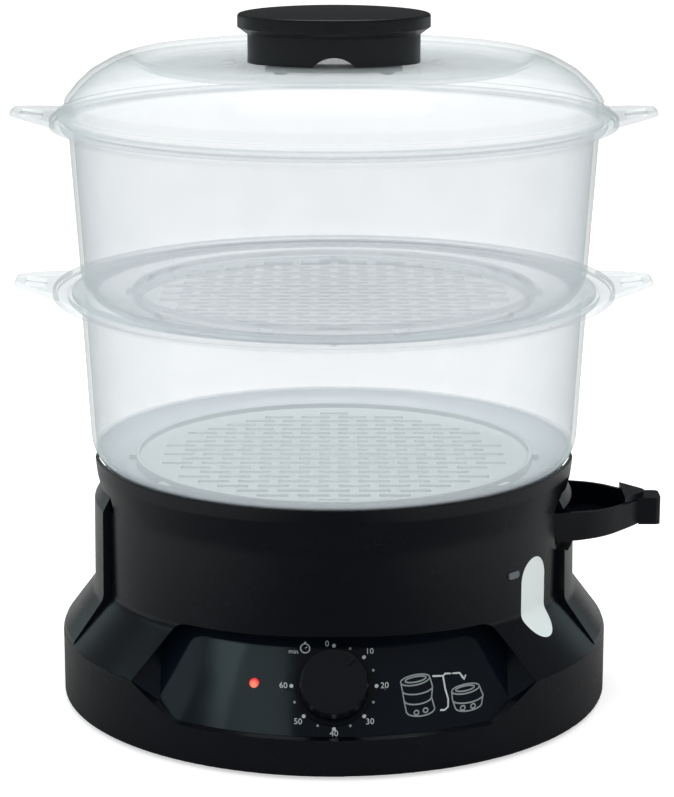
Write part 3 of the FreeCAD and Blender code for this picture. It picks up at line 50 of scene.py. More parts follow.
# The panel's surface is part of a cone; these repeat the CAD's own values, in millimetres.
CONE_TOP_R = 97.0
CONE_TOP_Z = 57.0
CONE_SLOPE = 0.654
SLOPE_RISE = math.cos(math.atan(CONE_SLOPE))     # height gained per length up the panel
DIAL_Z = 36.4
PILOT_X = -34.6
PILOT_Z = 35.6
PILOT_GLOW_R = 2.6

# Dial print, millimetres; a place is across and up in front view
INK_T = 0.06
DEG_PER_MINUTE = 4.5
DOT_RING = 18.4
DOT_R = 0.85
HALF_DOT_R = 0.6
NUMERAL_RING = 21.9
NUMERAL_SIZE = 3.7
FORTY_IN = 1.5                  # the 40 stands this much nearer to the knob than the others
ZERO_X = -3.0                   # the 0 stands to the left of its dot
ZERO_UP = 19.2
MIN_SIZE = 2.9
MIN_PLACE = (-17.6, 49.2)
WATCH_PLACE = (-12.5, 50.6)
WATCH_R = 2.0
WATCH_CROWN = [(0, 2.2), (0, 2.9)]
WATCH_HAND = [(0, 0), (0.9, 0.7)]
WATCH_W = 0.5
CROWN_W = 0.8
HAND_W = 0.4

# Outlines of the stacked bowls in use, on the left, and the nested bowls for storing, on the right.
# An oval is its middle across and up, its half width and half height, and how its right side rises.
OUTLINE_W = 0.55
PICTURE_RIMS = [
    (35.2, 37.4, 6.4, 1.9, 0.06), (35.4, 37.6, 4.6, 1.0, 0.06),
    (57.4, 31.3, 6.2, 1.7, 0.0), (57.2, 31.5, 4.2, 0.9, 0.0),
]
PICTURE_HOOPS = [
    (36.2, 34.0, 6.6, 1.9, 0.03), (36.4, 30.2, 5.8, 1.8, 0.03), (37.4, 26.2, 6.2, 2.2, 0.0),
    (58.4, 28.0, 6.9, 1.9, -0.02), (58.6, 25.0, 5.9, 1.8, -0.02),
]
PICTURE_SIDES = [
    [(28.9, 37.0), (29.6, 33.8), (30.3, 30.0), (31.2, 26.2)],
    [(41.7, 37.6), (42.8, 34.2), (42.3, 30.3), (43.6, 26.2)],
    [(51.2, 31.3), (51.5, 28.2), (52.7, 25.0)],
    [(63.6, 31.3), (65.2, 27.8), (64.5, 24.9)],
]
PICTURE_KNOBS = [(35.6, 25.4), (39.6, 25.9), (56.0, 24.6), (60.6, 24.6)]
PICTURE_KNOB_HALF = (1.0, 0.8)
ARROW_W = 0.7
ARROW_LINES = [
    [(42.8, 38.0), (47.7, 37.5), (48.3, 38.2), (54.9, 37.5), (56.6, 35.4)],
    [(47.5, 37.3), (48.4, 32.6), (49.6, 28.8), (49.5, 26.0), (48.0, 25.0), (46.0, 25.2)],
    [(55.7, 36.2), (56.9, 34.9), (57.6, 36.4)],
]

# Bowls, as the CAD has them, millimetres
WALL = 1.8
BOWL_H = 85.2
NEST = 7.8                      # how deep a bowl's foot sits in the rim below it
STACK_GAP = 0.3                 # clearance under what stands on a rim
RIM_R = 128.2
RIM_DROP = 3.6                  # height of the rim's outer edge
SHELF_DROP = 3.2                # depth of the shelf that the next piece stands on
HOLE_R = 88.0                   # opening for the slotted floor
FOOT_ROUND = 18.0
FLARE_DROP = 5.0                # the wall starts to flare this far below the shelf
RIB_IN = 6.2                    # the stacking rib's inner edge, inside the foot's radius
RIB_T = 1.5
DRAINS = 6
DRAIN_RING = 100.5
DRAIN_R = 1.3
DRAIN_PROUD = 0.3               # how much longer a drain's plug is than the floor is thick
LOWER_BOWL_Z = 107.55
UPPER_BOWL_Z = LOWER_BOWL_Z + BOWL_H - NEST

# Ears, millimetres: out from the rim's edge, and to each side of the ear's middle
EAR_ROOT_IN = 1.4
EAR_ROOT_TURN = math.radians(14.6)
EAR_ROOT_STEPS = 6
EAR_WAIST = (7.8, 20.5, 14)     # out, aside, corner radius
EAR_TIP = (17.4, 9.5, 6)
EAR_SLOT_OUT = (3.4, 13.0)      # the slot's near and far end
EAR_SLOT_HALF = 4.4
EAR_SLOT_ROUND = 2.0
EAR_T = 2.4
EAR_EDGE = 0.45
EAR_HINGE_IN = 2.0              # the line that it slopes from, inside the rim's edge
EAR_RISE = math.radians(7.4)    # the ear's slope, up to its tip
EAR_LIFT = 0.2                  # how far an ear's top stands over the rim at its hinge
BRIM_TURN = math.radians(60)    # an ear's edge that turns by more than this is eased

# Lid, millimetres; its outlines are (radius, height above the upper rim, corner radius) points
LID_Z = UPPER_BOWL_Z + BOWL_H
LID_T = 2.0
LID_DISH = 23.4
LID_WALL_R = 121.2
LID_OUTSIDE = [(86, LID_DISH, 3), (92, 27.8, 1.2), (100, 25.4, 16), (110, 19.8, 10), (116, 14.2, 8),
               (LID_WALL_R, 7.7, 2.5)]
LID_INSIDE = [(LID_WALL_R - LID_T, 6.9, 2), (114.5, 12.3, 6), (109, 17.5, 8), (99.3, 23.2, 14),
              (92, 25.2, 1), (85, LID_DISH - LID_T, 3)]
FLANGE_R = 125.0
FLANGE_T = 2.4
FLANGE_ROUND = 0.8
TONGUE_R = (119.3, 121.3)       # the ring that drops inside the upper bowl's rim
TONGUE_H = 3.0
LEDGE_RISE = (0.4, 0.5)         # the ledge over the tongue slopes up a little towards the wall
LID_OVAL_X = 47.0               # two raised ovals on the dish, and their half sizes
LID_OVAL_HALF = (3.2, 5.0, 1.2)

# Meshes
BASE_SPLITS = (44.0, 91.9)      # levels where the base's three solids meet, in millimetres
TURN_STEPS = 160                # facets round a turned shape
SHARP = math.radians(32)        # corners that turn by more than this stay sharp
ROUND_STEPS = ((8, 12), (2, 5), (0, 3))     # (least corner radius, facets across the corner)
CORNER_FACETS = 6               # facets across an ear's corner
SLOT_FACETS = 5                 # and across its slot's
ROUND_SIDES = 20                # sides of dots and drains
OVAL_TURNS = 28
SAME = 1e-6                     # metres within which two places are the same
MERGE = 0.001                   # millimetres within which corners of new shapes are merged
SKIN_MERGE = 0.002              # the same for copies of CAD nodes
BASE_MERGE = 0.005              # and for the base, across the seams between its solids

# Finishes
FLOW_MM = 25                    # moulding flow marks in opaque plastic
CLEAR_FLOW_MM = 30              # the same in clear plastic
CLEAR_FLOW_SPREAD = 0.2         # share by which they make its milkiness more or less
EDGE_POWER = 3.0                # how suddenly a clear wall turns milky where it is seen edge on
FOOT_PAINTED_LIGHT_OPACITY = 0.94                  # opacity of a foot made nearly solid, its pale colour painted light over the black base and the shade inside it
HELD_BACK = 0.02                # opacity of a clear wall to light that goes on through it
METAL_SPREAD = 0.08             # how far a metal's roughness varies to each side
METAL_GRAIN_DEPTH = 0.01        # depth of its grain, in millimetres
COLOUR_A, COLOUR_B, COLOUR_OUT = 6, 7, 2    # colour sockets of a Mix node

# Camera, solved from the round edges of the object
CAMERA_BACK = 1.19004
CAMERA_UP = 0.42175
CAMERA_PITCH = 0.234
FOCAL_PX = 2641.28
IMAGE_W_PX = 674
IMAGE_H_PX = 797
AXIS_PX = 333.98
SENSOR_MM = 36.0

# Studio, metres
SWEEP_HALF = 8.0
SWEEP_GREY = "#d8d8d8"
SWEEP_GLOW = 0.55               # brings the grey paper up to white where it is seen
PAINTED_SHADE_DEPTH = (-0.25, 0.3)       # from front to back, where the sweep's painted reflection turns from painted shade to painted light
PAINTED_SHADE_WIDTH = (0.10, 0.4)        # and from its middle to each side
PAINTED_SHADE_FRONT = 0.06                  # the sweep's brightness in reflections, painted shade and painted light: at the front,
PAINTED_LIGHT_BACK = 0.4                 # at the back
PAINTED_LIGHT_SIDE = 0.35                # and at the sides
WORLD_ON_OBJECT = 0.88          # the backdrop's strength as a light
WORLD_MIRRORED = 0.10           # and as a reflection
WHITE = "#ffffff"
COOL = "#dcfdff"                # slightly blue-green lamps at the sides
PANEL_LEFT = (-0.04, -0.1, 0.035)
FOOT_MIDDLE = (0, 0, 0.1)
SOFT_BOXES = {                  # place, target, width and height, radiance, colour
    "overhead_box": ((0, 0.15, 1.5), (0, 0, 0.2), (1.1, 0.8), 3.0, WHITE),
    "left_front_box": ((-0.965, -0.876, 1.179), PANEL_LEFT, (1.27, 0.3), 0.6, COOL),
    "left_strip_box": ((-1.19, -0.60, 1.17), PANEL_LEFT, (0.55, 0.3), 0.6, COOL),
    "left_fill_box": ((-1.46, -0.02, 0.76), (-0.05, -0.1, 0.04), (0.9, 0.5), 0.35, COOL),
    "left_rear_box": ((-1.15, 1.1, 0.5), FOOT_MIDDLE, (0.35, 1.2), 0.5, COOL),
    "right_rear_box": ((1.2, 1.05, 0.5), FOOT_MIDDLE, (0.35, 1.2), 0.5, COOL),
}


# ---------------------------------------------------------------- materials

def linear(code):
    """Linear colour from an sRGB hex value."""
    parts = [int(code[i:i + 2], 16) / 255 for i in (1, 3, 5)]
    return [p / 12.92 if p <= 0.04045 else ((p + 0.055) / 1.055) ** 2.4 for p in parts] + [1.0]


def add_node(tree, kind, links=(), **settings):
    """Add a node, set its properties or input values by name, and link (output, input name) pairs."""
    node = tree.nodes.new(kind)
    for name, value in settings.items():
        if hasattr(node, name):
            setattr(node, name, value)
        else:
            node.inputs[name.replace("_", " ")].default_value = value
    for source, target in links:
        tree.links.new(source, node.inputs[target])
    return node


def new_finish(name, colour, roughness, **sockets):
    material = bpy.data.materials.new(name)
    material.use_nodes = True
    tree = material.node_tree
    shader = tree.nodes["Principled BSDF"]
    shader.inputs["Base Color"].default_value = linear(colour)
    shader.inputs["Roughness"].default_value = roughness
    for socket, value in sockets.items():
        shader.inputs[socket.replace("_", " ")].default_value = value
    return material, tree, shader


def object_axes(tree):
    """The place on the object, split into its X, Y and Z."""
    place = add_node(tree, "ShaderNodeTexCoord")
    return add_node(tree, "ShaderNodeSeparateXYZ", [(place.outputs["Object"], "Vector")])


def object_noise(tree, size_mm, detail=2.0):
    """Noise on object coordinates whose features are about size_mm across."""
    place = add_node(tree, "ShaderNodeTexCoord")
    return add_node(tree, "ShaderNodeTexNoise", [(place.outputs["Object"], "Vector")],
                    Scale=1 / (size_mm * MM), Detail=detail)


def larger(tree, one, other):
    """The larger of two outputs."""
    return add_node(tree, "ShaderNodeMath", [(one, 0), (other, 1)], operation="MAXIMUM").outputs["Value"]


def add_bump(tree, shader, height, depth_mm):
    bump = add_node(tree, "ShaderNodeBump", [(height, "Height")], Distance=depth_mm * MM, Strength=1.0)
    tree.links.new(bump.outputs["Normal"], shader.inputs["Normal"])


def vary_roughness(tree, shader, factor, low, high):
    spread = add_node(tree, "ShaderNodeMapRange", [(factor, "Value")], To_Min=low, To_Max=high)
    tree.links.new(spread.outputs["Result"], shader.inputs["Roughness"])


def vary_colour(tree, shader, factor, dark, light, socket="Base Color"):
    mix = add_node(tree, "ShaderNodeMix", [(factor, "Factor")], data_type="RGBA")
    mix.inputs[COLOUR_A].default_value = linear(dark)
    mix.inputs[COLOUR_B].default_value = linear(light)
    tree.links.new(mix.outputs[COLOUR_OUT], shader.inputs[socket])


def moulded(name, dark, light, roughness, grain_mm, grain_depth_mm):
    """Opaque injection-moulded plastic: slight flow variation, and a fine grain in the tool's surface.

    Its roughness is given as the lowest and the highest.
    """
    material, tree, shader = new_finish(name, light, roughness[1])
    flow = object_noise(tree, FLOW_MM, 3)
    grain = object_noise(tree, grain_mm)
    vary_colour(tree, shader, flow.outputs["Fac"], dark, light)
    vary_roughness(tree, shader, flow.outputs["Fac"], *roughness)
    add_bump(tree, shader, grain.outputs["Fac"], grain_depth_mm)
    return material


def clear_plastic(name, tint, edge_tint, face_solid, edge_solid, foot_mm=None):
    """Clear styrene: seen through face on, milkier and greener where the wall is seen edge on.

    Its flow marks make the milkiness slightly uneven. Below a height that fades out between the two of
    foot_mm,
    the wall is nearly solid: its pale colour is painted light that hides what is behind it.
    """
    material, tree, shader = new_finish(name, tint, 0.07, IOR=1.57)
    facing = add_node(tree, "ShaderNodeLayerWeight", Blend=0.5)
    edge = add_node(tree, "ShaderNodeMath", [(facing.outputs["Facing"], 0)], operation="POWER")
    edge.inputs[1].default_value = EDGE_POWER
    flow = object_noise(tree, CLEAR_FLOW_MM)
    haze = add_node(tree, "ShaderNodeMapRange", [(flow.outputs["Fac"], "Value")],
                    To_Min=(1 - CLEAR_FLOW_SPREAD) * face_solid,
                    To_Max=(1 + CLEAR_FLOW_SPREAD) * face_solid)
    solid = add_node(tree, "ShaderNodeMapRange",
                     [(edge.outputs["Value"], "Value"), (haze.outputs["Result"], "To Min")],
                     To_Max=edge_solid)
    if foot_mm:
        # below the foot's height the wall is nearly solid: painted light over the black base and the shade
        # inside it
        solid = add_node(tree, "ShaderNodeMapRange",
                         [(object_axes(tree).outputs["Z"], "Value"), (solid.outputs["Result"], "To Max")],
                         From_Min=foot_mm[0] * MM, From_Max=foot_mm[1] * MM, To_Min=FOOT_PAINTED_LIGHT_OPACITY)
    vary_colour(tree, shader, edge.outputs["Value"], tint, edge_tint)
    # light that goes on through the wall is hardly held back, as by the real, clear wall
    rays = add_node(tree, "ShaderNodeLightPath")
    passing = larger(tree, rays.outputs["Is Shadow Ray"], rays.outputs["Is Diffuse Ray"])
    alpha = add_node(tree, "ShaderNodeMapRange",
                     [(passing, "Value"), (solid.outputs["Result"], "To Min")], To_Max=HELD_BACK)
    tree.links.new(alpha.outputs["Result"], shader.inputs["Alpha"])
    return material


def metal(name, colour, roughness, grain_mm):
    """Bare or plated metal whose grain shows as a slightly uneven shine."""
    material, tree, shader = new_finish(name, colour, roughness, Metallic=1.0)
    grain = object_noise(tree, grain_mm)
    vary_roughness(tree, shader, grain.outputs["Fac"], roughness - METAL_SPREAD, roughness + METAL_SPREAD)
    add_bump(tree, shader, grain.outputs["Fac"], METAL_GRAIN_DEPTH)
    return material


def panel_point(x, z, lift):
    """Point on the panel's surface at a place in front view, in metres."""
    radius = CONE_TOP_R + CONE_SLOPE * (CONE_TOP_Z - z) + lift
    return x * MM, -math.sqrt(radius ** 2 - x ** 2) * MM, z * MM


def pilot_finish():
    """Red polycarbonate lens with the lamp lit behind it: orange at its middle, red at its edge."""
    material, tree, shader = new_finish("lit_red_polycarbonate", "#c8281c", 0.12, Emission_Strength=1.0)
    centre = panel_point(PILOT_X, PILOT_Z, 0)
    radius = PILOT_GLOW_R * MM
    place = add_node(tree, "ShaderNodeTexCoord")
    centred = add_node(tree, "ShaderNodeMapping", [(place.outputs["Object"], "Vector")],
                       Location=[-c / radius for c in centre], Scale=[1 / radius] * 3)
    glow = add_node(tree, "ShaderNodeTexGradient", [(centred.outputs["Vector"], "Vector")],
                    gradient_type="SPHERICAL")
    vary_colour(tree, shader, glow.outputs["Fac"], "#d81e28", "#ffb088", "Emission Color")
    return material


FINISHES = {
    # satin black ABS from a lightly textured tool: near black, with soft wide highlights
    "black_plastic": moulded("satin_moulded_black_abs", "#05080e", "#080d16", (0.24, 0.30), 0.9, 0.002),
    # fine-grained black polypropylene: a little softer than the housing
    "matte_black_plastic": moulded("fine_grain_black_pp", "#06090f", "#0a0f16", (0.34, 0.42), 0.7, 0.008),
    # polished black ABS: reflects the soft boxes with firm edges
    "panel_plastic": moulded("polished_black_abs", "#080d14", "#0c131b", (0.10, 0.14), 1.5, 0.0004),
    # satin black ABS knob: the dullest of the black ABS pieces, so that it stands off the panel
    "knob_plastic": moulded("satin_black_abs_knob", "#090e14", "#0d131a", (0.28, 0.34), 0.6, 0.003),
    # moulded rubber feet: no shine
    "black_rubber": moulded("moulded_black_rubber", "#101010", "#181818", (0.75, 0.85), 0.5, 0.01),
    # zinc plate over steel: light and cool, with a soft shine
    "zinc_steel": metal("zinc_plated_steel", "#b9bbbd", 0.35, 0.5),
    # steel that has been hot: darker, warmer and duller than the plated pieces
    "element_steel": metal("oxidised_steel", "#8d8b86", 0.42, 0.8),
    # die-cast aluminium: pale, with a broad dull shine
    "cast_aluminium": metal("cast_aluminium", "#c9cbcc", 0.48, 0.6),
    # unfilled nylon: warm off-white, half matt
    "natural_nylon": moulded("natural_nylon", "#ddd6c4", "#e6e0d0", (0.45, 0.55), 0.8, 0.004),
    # silicone rubber: mid grey, matt
    "grey_silicone": moulded("grey_silicone_rubber", "#9fa3a5", "#abaeb0", (0.55, 0.65), 0.8, 0.005),
    # grey polypropylene of the full mark: darker than the window beside it
    "grey_plastic": moulded("grey_pad_printed_pp", "#5d666a", "#6a7377", (0.4, 0.5), 0.8, 0.005),
    # PVC sleeve on the leads: warm white, half matt
    "lead_insulation": moulded("white_pvc_sleeve", "#cfcec8", "#d9d8d2", (0.45, 0.55), 0.8, 0.004),
    # clear red polycarbonate over a lit lamp: glows on its own
    "red_lens": pilot_finish(),
    # thin glass of the neon lamp: tinted orange by its glow
    "lamp_glass": clear_plastic("neon_lamp_glass", "#ffb9a0", "#e8a088", 0.4, 0.8),
    # satin white polypropylene: bright, with a wide soft sheen
    "white_plastic": moulded("satin_white_pp", "#d8dee0", "#e2e7e8", (0.35, 0.42), 0.8, 0.004),
    # polished clear styrene: nearly gone face on, with pale milky edges
    "clear_plastic": clear_plastic("polished_clear_styrene", "#d9e0e7", "#b3c3c2", 0.18, 0.6),
}
# frosted pane: milky all through, so nothing shows behind it
WINDOW_FINISH = moulded("frosted_polycarbonate", "#e6f1f0", "#eef7f6", (0.30, 0.38), 1.2, 0.004)
# slotted floors: evenly milky, hardly more so at their edges, so the slots are only just seen
FLOOR_FINISH = clear_plastic("moulded_clear_styrene_floor", "#dfe7eb", "#cbd6d6", 0.35, 0.5)
# lid: a little whiter than the bowls
LID_FINISH = clear_plastic("polished_clear_lid_styrene", "#eff5f8", "#c3d3d3", 0.16, 0.6)
# foot of the lower bowl and its floor: nearly solid, their pale colour painted light so that the black
# base and the shade inside it don't show through them
FOOT_PAINTED_LIGHT_FINISH = clear_plastic("clear_styrene_foot_painted_light", "#dde5eb", "#b9c8c7", 0.18, 0.6,
                            foot_mm=(116.3, 118.6))
LOW_FLOOR_PAINTED_LIGHT_FINISH = clear_plastic("clear_styrene_floor_painted_light", "#dfe9ea", "#d3dedd", 0.35, 0.5,
                                 foot_mm=(116.0, 120.0))
# pad-printed ink: chalky white, laid down a little unevenly by the pad
INK_WHITE = moulded("white_pad_ink", "#aeb5b6", "#c6cccd", (0.55, 0.65), 0.5, 0.004)
# the same ink in grey, for what is printed fainter
INK_GREY = moulded("grey_pad_ink", "#7c8585", "#8d9696", (0.55, 0.65), 0.5, 0.004)


# ---------------------------------------------------------------- making pieces

def add_piece(name, shape, slot, body, nodes=(), finish=None):
    """A piece from a bmesh: smooth over its curves, sharp at its corners."""
    for face in shape.faces:
        face.smooth = True
    for edge in shape.edges:
        edge.smooth = len(edge.link_faces) == 2 and edge.calc_face_angle(0.0) < SHARP
    mesh = bpy.data.meshes.new(name)
    shape.to_mesh(mesh)
    shape.free()
    mesh.materials.append(finish or FINISHES[slot])
    piece = bpy.data.objects.new(name, mesh)
    bpy.context.scene.collection.objects.link(piece)
    weighted = piece.modifiers.new("weighted", "WEIGHTED_NORMAL")
    weighted.keep_sharp = True
    weighted.weight = 100
    if nodes:
        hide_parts(*nodes)
    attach(piece, body)


def add_skin(node, finish=None):
    """A merged copy of a CAD node, so that its curves shade smoothly."""
    shape = bmesh.new()
    shape.from_mesh(frame["nodes"][node].data)
    bmesh.ops.remove_doubles(shape, verts=shape.verts, dist=SKIN_MERGE * MM)
    add_piece(node + "_skin", shape, SLOT_OF[node], BODY_OF[node], [node], finish)


def add_base_skin():
    """The base moulding in one piece, without the faces where its three solids meet."""
    nodes = ("base_skirt", "base_housing", "base_lip")
    shape = bmesh.new()
    for node in nodes:
        shape.from_mesh(frame["nodes"][node].data)
    bmesh.ops.remove_doubles(shape, verts=shape.verts, dist=BASE_MERGE * MM)

    def lies_at(face, level):
        return all(abs(vert.co.z - level * MM) < SAME for vert in face.verts)

    seams = [face for face in shape.faces if any(lies_at(face, level) for level in BASE_SPLITS)]
    bmesh.ops.delete(shape, geom=seams, context="FACES")
    add_piece("base_moulding", shape, "black_plastic", "base", nodes)


def corner_reach(points, index):
    """How far from its corner a rounding starts, at a point (x, y, corner radius) of an outline."""
    here = Vector(points[index][:2])
    back = (Vector(points[index - 1][:2]) - here).normalized()
    ahead = (Vector(points[(index + 1) % len(points)][:2]) - here).normalized()
    return points[index][2] / math.tan(back.angle(ahead) / 2)


def round_off(shape, geom, reach, segments, affect="EDGES"):
    """Round edges or corners whose rounding starts reach millimetres away."""
    bmesh.ops.bevel(shape, geom=geom, offset=reach * MM, offset_type="OFFSET", segments=segments,
                    profile=0.5, affect=affect, clamp_overlap=True, material=-1)


def turned(profile):
    """A shape spun from (radius, height) or (radius, height, corner radius) points, in millimetres."""
    shape = bmesh.new()
    ring = [shape.verts.new((point[0] * MM, 0, point[1] * MM)) for point in profile]
    pairs = list(zip(ring, ring[1:] + ring[:1]))
    if profile[0][0] == 0:
        pairs.pop()             # both ends lie on the axis
    edges = [shape.edges.new(pair) for pair in pairs]
    bmesh.ops.spin(shape, geom=ring + edges, cent=(0, 0, 0), axis=(0, 0, 1), dvec=(0, 0, 0),
                   angle=math.tau, steps=TURN_STEPS, use_merge=True, use_duplicate=False)
    bmesh.ops.remove_doubles(shape, verts=shape.verts, dist=MERGE * MM)
    bmesh.ops.recalc_face_normals(shape, faces=shape.faces)
    for index, point in enumerate(profile):
        if len(point) < 3:
            continue
        radius, height, rounding = point

        def in_circle(vert):
            return (abs(math.hypot(vert.co.x, vert.co.y) - radius * MM) < SAME
                    and abs(vert.co.z - height * MM) < SAME)

        circle = [edge for edge in shape.edges if in_circle(edge.verts[0]) and in_circle(edge.verts[1])]
        segments = next(count for least, count in ROUND_STEPS if rounding >= least)
        round_off(shape, circle, corner_reach(profile, index), segments)
    return shape


def join(shape, other):
    """Take another bmesh's geometry into a shape."""
    mesh = bpy.data.meshes.new("part")
    other.to_mesh(mesh)
    other.free()
    shape.from_mesh(mesh)
    bpy.data.meshes.remove(mesh)


# ---------------------------------------------------------------- clear bowls and lid

def ear_outline():
    """(x, y, corner radius) points of an ear that points along +X, from above, in millimetres."""
    root_r = RIM_R - EAR_ROOT_IN
    points = []
    for step in range(-EAR_ROOT_STEPS, EAR_ROOT_STEPS + 1):
        angle = EAR_ROOT_TURN * step / EAR_ROOT_STEPS
        points.append((root_r * math.cos(angle), root_r * math.sin(angle), 0))
    for side, corners in ((1, (EAR_WAIST, EAR_TIP)), (-1, (EAR_TIP, EAR_WAIST))):
        for out, aside, rounding in corners:
            points.append((RIM_R + out, side * aside, rounding))
    return points


def ear_pair(top_z):
    """Both ears of a rim: flat loops that slope up to their tips, each with a narrow slot."""
    shape = bmesh.new()
    points = ear_outline()
    outline = [shape.verts.new((x * MM, y * MM, 0)) for x, y, _ in points]
    shape.faces.new(outline)
    for index, vert in enumerate(outline):
        if points[index][2]:
            round_off(shape, [vert], corner_reach(points, index), CORNER_FACETS, "VERTICES")
    near, far = (RIM_R + out for out in EAR_SLOT_OUT)
    half = EAR_SLOT_HALF
    slot = [shape.verts.new((x * MM, y * MM, 0))
            for x, y in ((near, -half), (far, -half), (far, half), (near, half))]
    shape.faces.new(slot)
    round_off(shape, slot, EAR_SLOT_ROUND, SLOT_FACETS, "VERTICES")
    bmesh.ops.delete(shape, geom=list(shape.faces), context="FACES_ONLY")
    bmesh.ops.triangle_fill(shape, use_beauty=True, use_dissolve=False, edges=list(shape.edges))
    made = bmesh.ops.extrude_face_region(shape, geom=list(shape.faces), use_keep_orig=True)
    lower = [item for item in made["geom"] if isinstance(item, bmesh.types.BMVert)]
    bmesh.ops.translate(shape, vec=(0, 0, -EAR_T * MM), verts=lower)
    bmesh.ops.recalc_face_normals(shape, faces=shape.faces)
    brims = [edge for edge in shape.edges if len(edge.link_faces) == 2
             and abs(edge.verts[0].co.z - edge.verts[1].co.z) < SAME
             and edge.calc_face_angle(0.0) > BRIM_TURN]
    round_off(shape, brims, EAR_EDGE, 2)
    hinge = Vector(((RIM_R - EAR_HINGE_IN) * MM, 0, 0))
    bmesh.ops.rotate(shape, cent=hinge, matrix=Matrix.Rotation(-EAR_RISE, 3, "Y"), verts=shape.verts)
    bmesh.ops.translate(shape, vec=(0, 0, (top_z + EAR_LIFT) * MM), verts=shape.verts)
    both = list(shape.verts) + list(shape.edges) + list(shape.faces)
    bmesh.ops.mirror(shape, geom=both, axis="X", merge_dist=0)
    bmesh.ops.recalc_face_normals(shape, faces=shape.faces)
    return shape


def drain(z, angle):
    """A short closed plug through a bowl's floor, where the CAD has a drain hole.

    In clear plastic its edge shows as the hole's would.
    """
    shape = bmesh.new()
    place = Matrix.Translation((DRAIN_RING * MM * math.sin(angle), -DRAIN_RING * MM * math.cos(angle),
                                (z + WALL / 2) * MM))
    bmesh.ops.create_cone(shape, cap_ends=True, segments=ROUND_SIDES, radius1=DRAIN_R * MM,
                          radius2=DRAIN_R * MM, depth=(WALL + DRAIN_PROUD) * MM, matrix=place)
    return shape


def add_bowl(name, z, foot_r, top_r, collar_r, rib_r=None, finish=None):
    """A bowl with its rim and ears: wall from foot_r to top_r, then a shelf and a collar under the rim."""
    rim = z + BOWL_H
    shelf = rim - SHELF_DROP
    shape = turned([
        (HOLE_R, z), (foot_r, z, FOOT_ROUND), (top_r, shelf - FLARE_DROP, 4),
        (collar_r + WALL, shelf - WALL, 2), (collar_r + WALL, rim - WALL, 0.4),
        (RIM_R - WALL, rim - WALL, 0.4), (RIM_R - WALL, rim - RIM_DROP),
        (RIM_R, rim - RIM_DROP), (RIM_R, rim, 1), (collar_r, rim, 0.6),
        (collar_r, shelf, 0.4), (top_r - WALL, shelf, 0.8),
        (foot_r - WALL, z + WALL, FOOT_ROUND - WALL), (HOLE_R, z + WALL),
    ])
    if rib_r:
        under = z + NEST - SHELF_DROP + STACK_GAP
        over = under + RIB_T
        join(shape, turned([(foot_r - RIB_IN, under), (rib_r, under), (rib_r, over),
                            (foot_r - RIB_IN, over)]))
    for turn in range(DRAINS):
        join(shape, drain(z, math.tau * turn / DRAINS))
    join(shape, ear_pair(rim))
    nodes = (name, name + "_floor", name + "_rim", name + "_ears")
    add_piece(name + "_moulding", shape, "clear_plastic", name, nodes, finish)


def add_lid():
    """Domed lid with a crease ring round its dish, a flange that seats on the rim and a tongue."""
    seat = LID_Z + STACK_GAP
    over_flange = seat + FLANGE_T
    tongue_in_r, tongue_r = TONGUE_R

    def raised(points):
        return [(radius, LID_Z + height, rounding) for radius, height, rounding in points]

    edge = [
        (LID_WALL_R, over_flange, FLANGE_ROUND), (FLANGE_R, over_flange, FLANGE_ROUND), (FLANGE_R, seat),
        (tongue_r, seat), (tongue_r, seat - TONGUE_H), (tongue_in_r, seat - TONGUE_H),
        (tongue_in_r, seat + LEDGE_RISE[0]), (LID_WALL_R - LID_T, seat + LEDGE_RISE[1]),
    ]
    shape = turned([(0, LID_Z + LID_DISH), *raised(LID_OUTSIDE), *edge, *raised(LID_INSIDE),
                    (0, LID_Z + LID_DISH - LID_T)])
    for side in (-1, 1):
        raised_oval = bmesh.new()
        place = Matrix.Translation((side * LID_OVAL_X * MM, 0, (LID_Z + LID_DISH) * MM))
        bmesh.ops.create_uvsphere(raised_oval, u_segments=24, v_segments=12, radius=MM,
                                  matrix=place @ Matrix.Diagonal((*LID_OVAL_HALF, 1)))
        join(shape, raised_oval)
    add_piece("lid_moulding", shape, "clear_plastic", "lid", ["lid"], LID_FINISH)


# ---------------------------------------------------------------- printing on the panel

def mesh_of(curve):
    """A curve or text as a bmesh, in its own flat millimetres."""
    holder = bpy.data.objects.new("print", curve)
    bpy.context.scene.collection.objects.link(holder)
    bpy.context.view_layer.update()
    mesh = bpy.data.meshes.new_from_object(holder)
    shape = bmesh.new()
    shape.from_mesh(mesh)
    bpy.data.objects.remove(holder)
    bpy.data.curves.remove(curve)
    bpy.data.meshes.remove(mesh)
    return shape


def words(text, size):
    curve = bpy.data.curves.new("words", "FONT")
    curve.body = text
    curve.size = size
    curve.align_x = "CENTER"
    curve.align_y = "CENTER"
    curve.extrude = INK_T / 2
    curve.resolution_u = 3
    return mesh_of(curve)


def line(points, width, closed=False):
    """A printed line of one width through (across, up) points."""
    curve = bpy.data.curves.new("line", "CURVE")
    curve.dimensions = "3D"
    spline = curve.splines.new("POLY")
    spline.points.add(len(points) - 1)
    for knot, (u, v) in zip(spline.points, points):
        knot.co = (u, v, 0, 1)
    spline.use_cyclic_u = closed
    curve.bevel_depth = width / 2
    curve.bevel_resolution = 1
    curve.use_fill_caps = True
    shape = mesh_of(curve)
    bmesh.ops.scale(shape, vec=(1, 1, INK_T / width), verts=shape.verts)
    return shape


def dot(radius):
    shape = bmesh.new()
    bmesh.ops.create_cone(shape, cap_ends=True, segments=ROUND_SIDES, radius1=radius, radius2=radius,
                          depth=INK_T)
    return shape


def oval(x, z, half_x, half_z, lean=0.0, start=0, end=360):
    """Points round an oval, or round part of one, whose right side rises by lean."""
    points = []
    for step in range(OVAL_TURNS + 1):
        angle = math.radians(start + (end - start) * step / OVAL_TURNS)
        across = half_x * math.cos(angle)
        points.append((x + across, z + half_z * math.sin(angle) + lean * across))
    return points


def oval_line(width, *sizes):
    """A closed printed line round an oval."""
    return line(oval(*sizes)[:-1], width, closed=True)


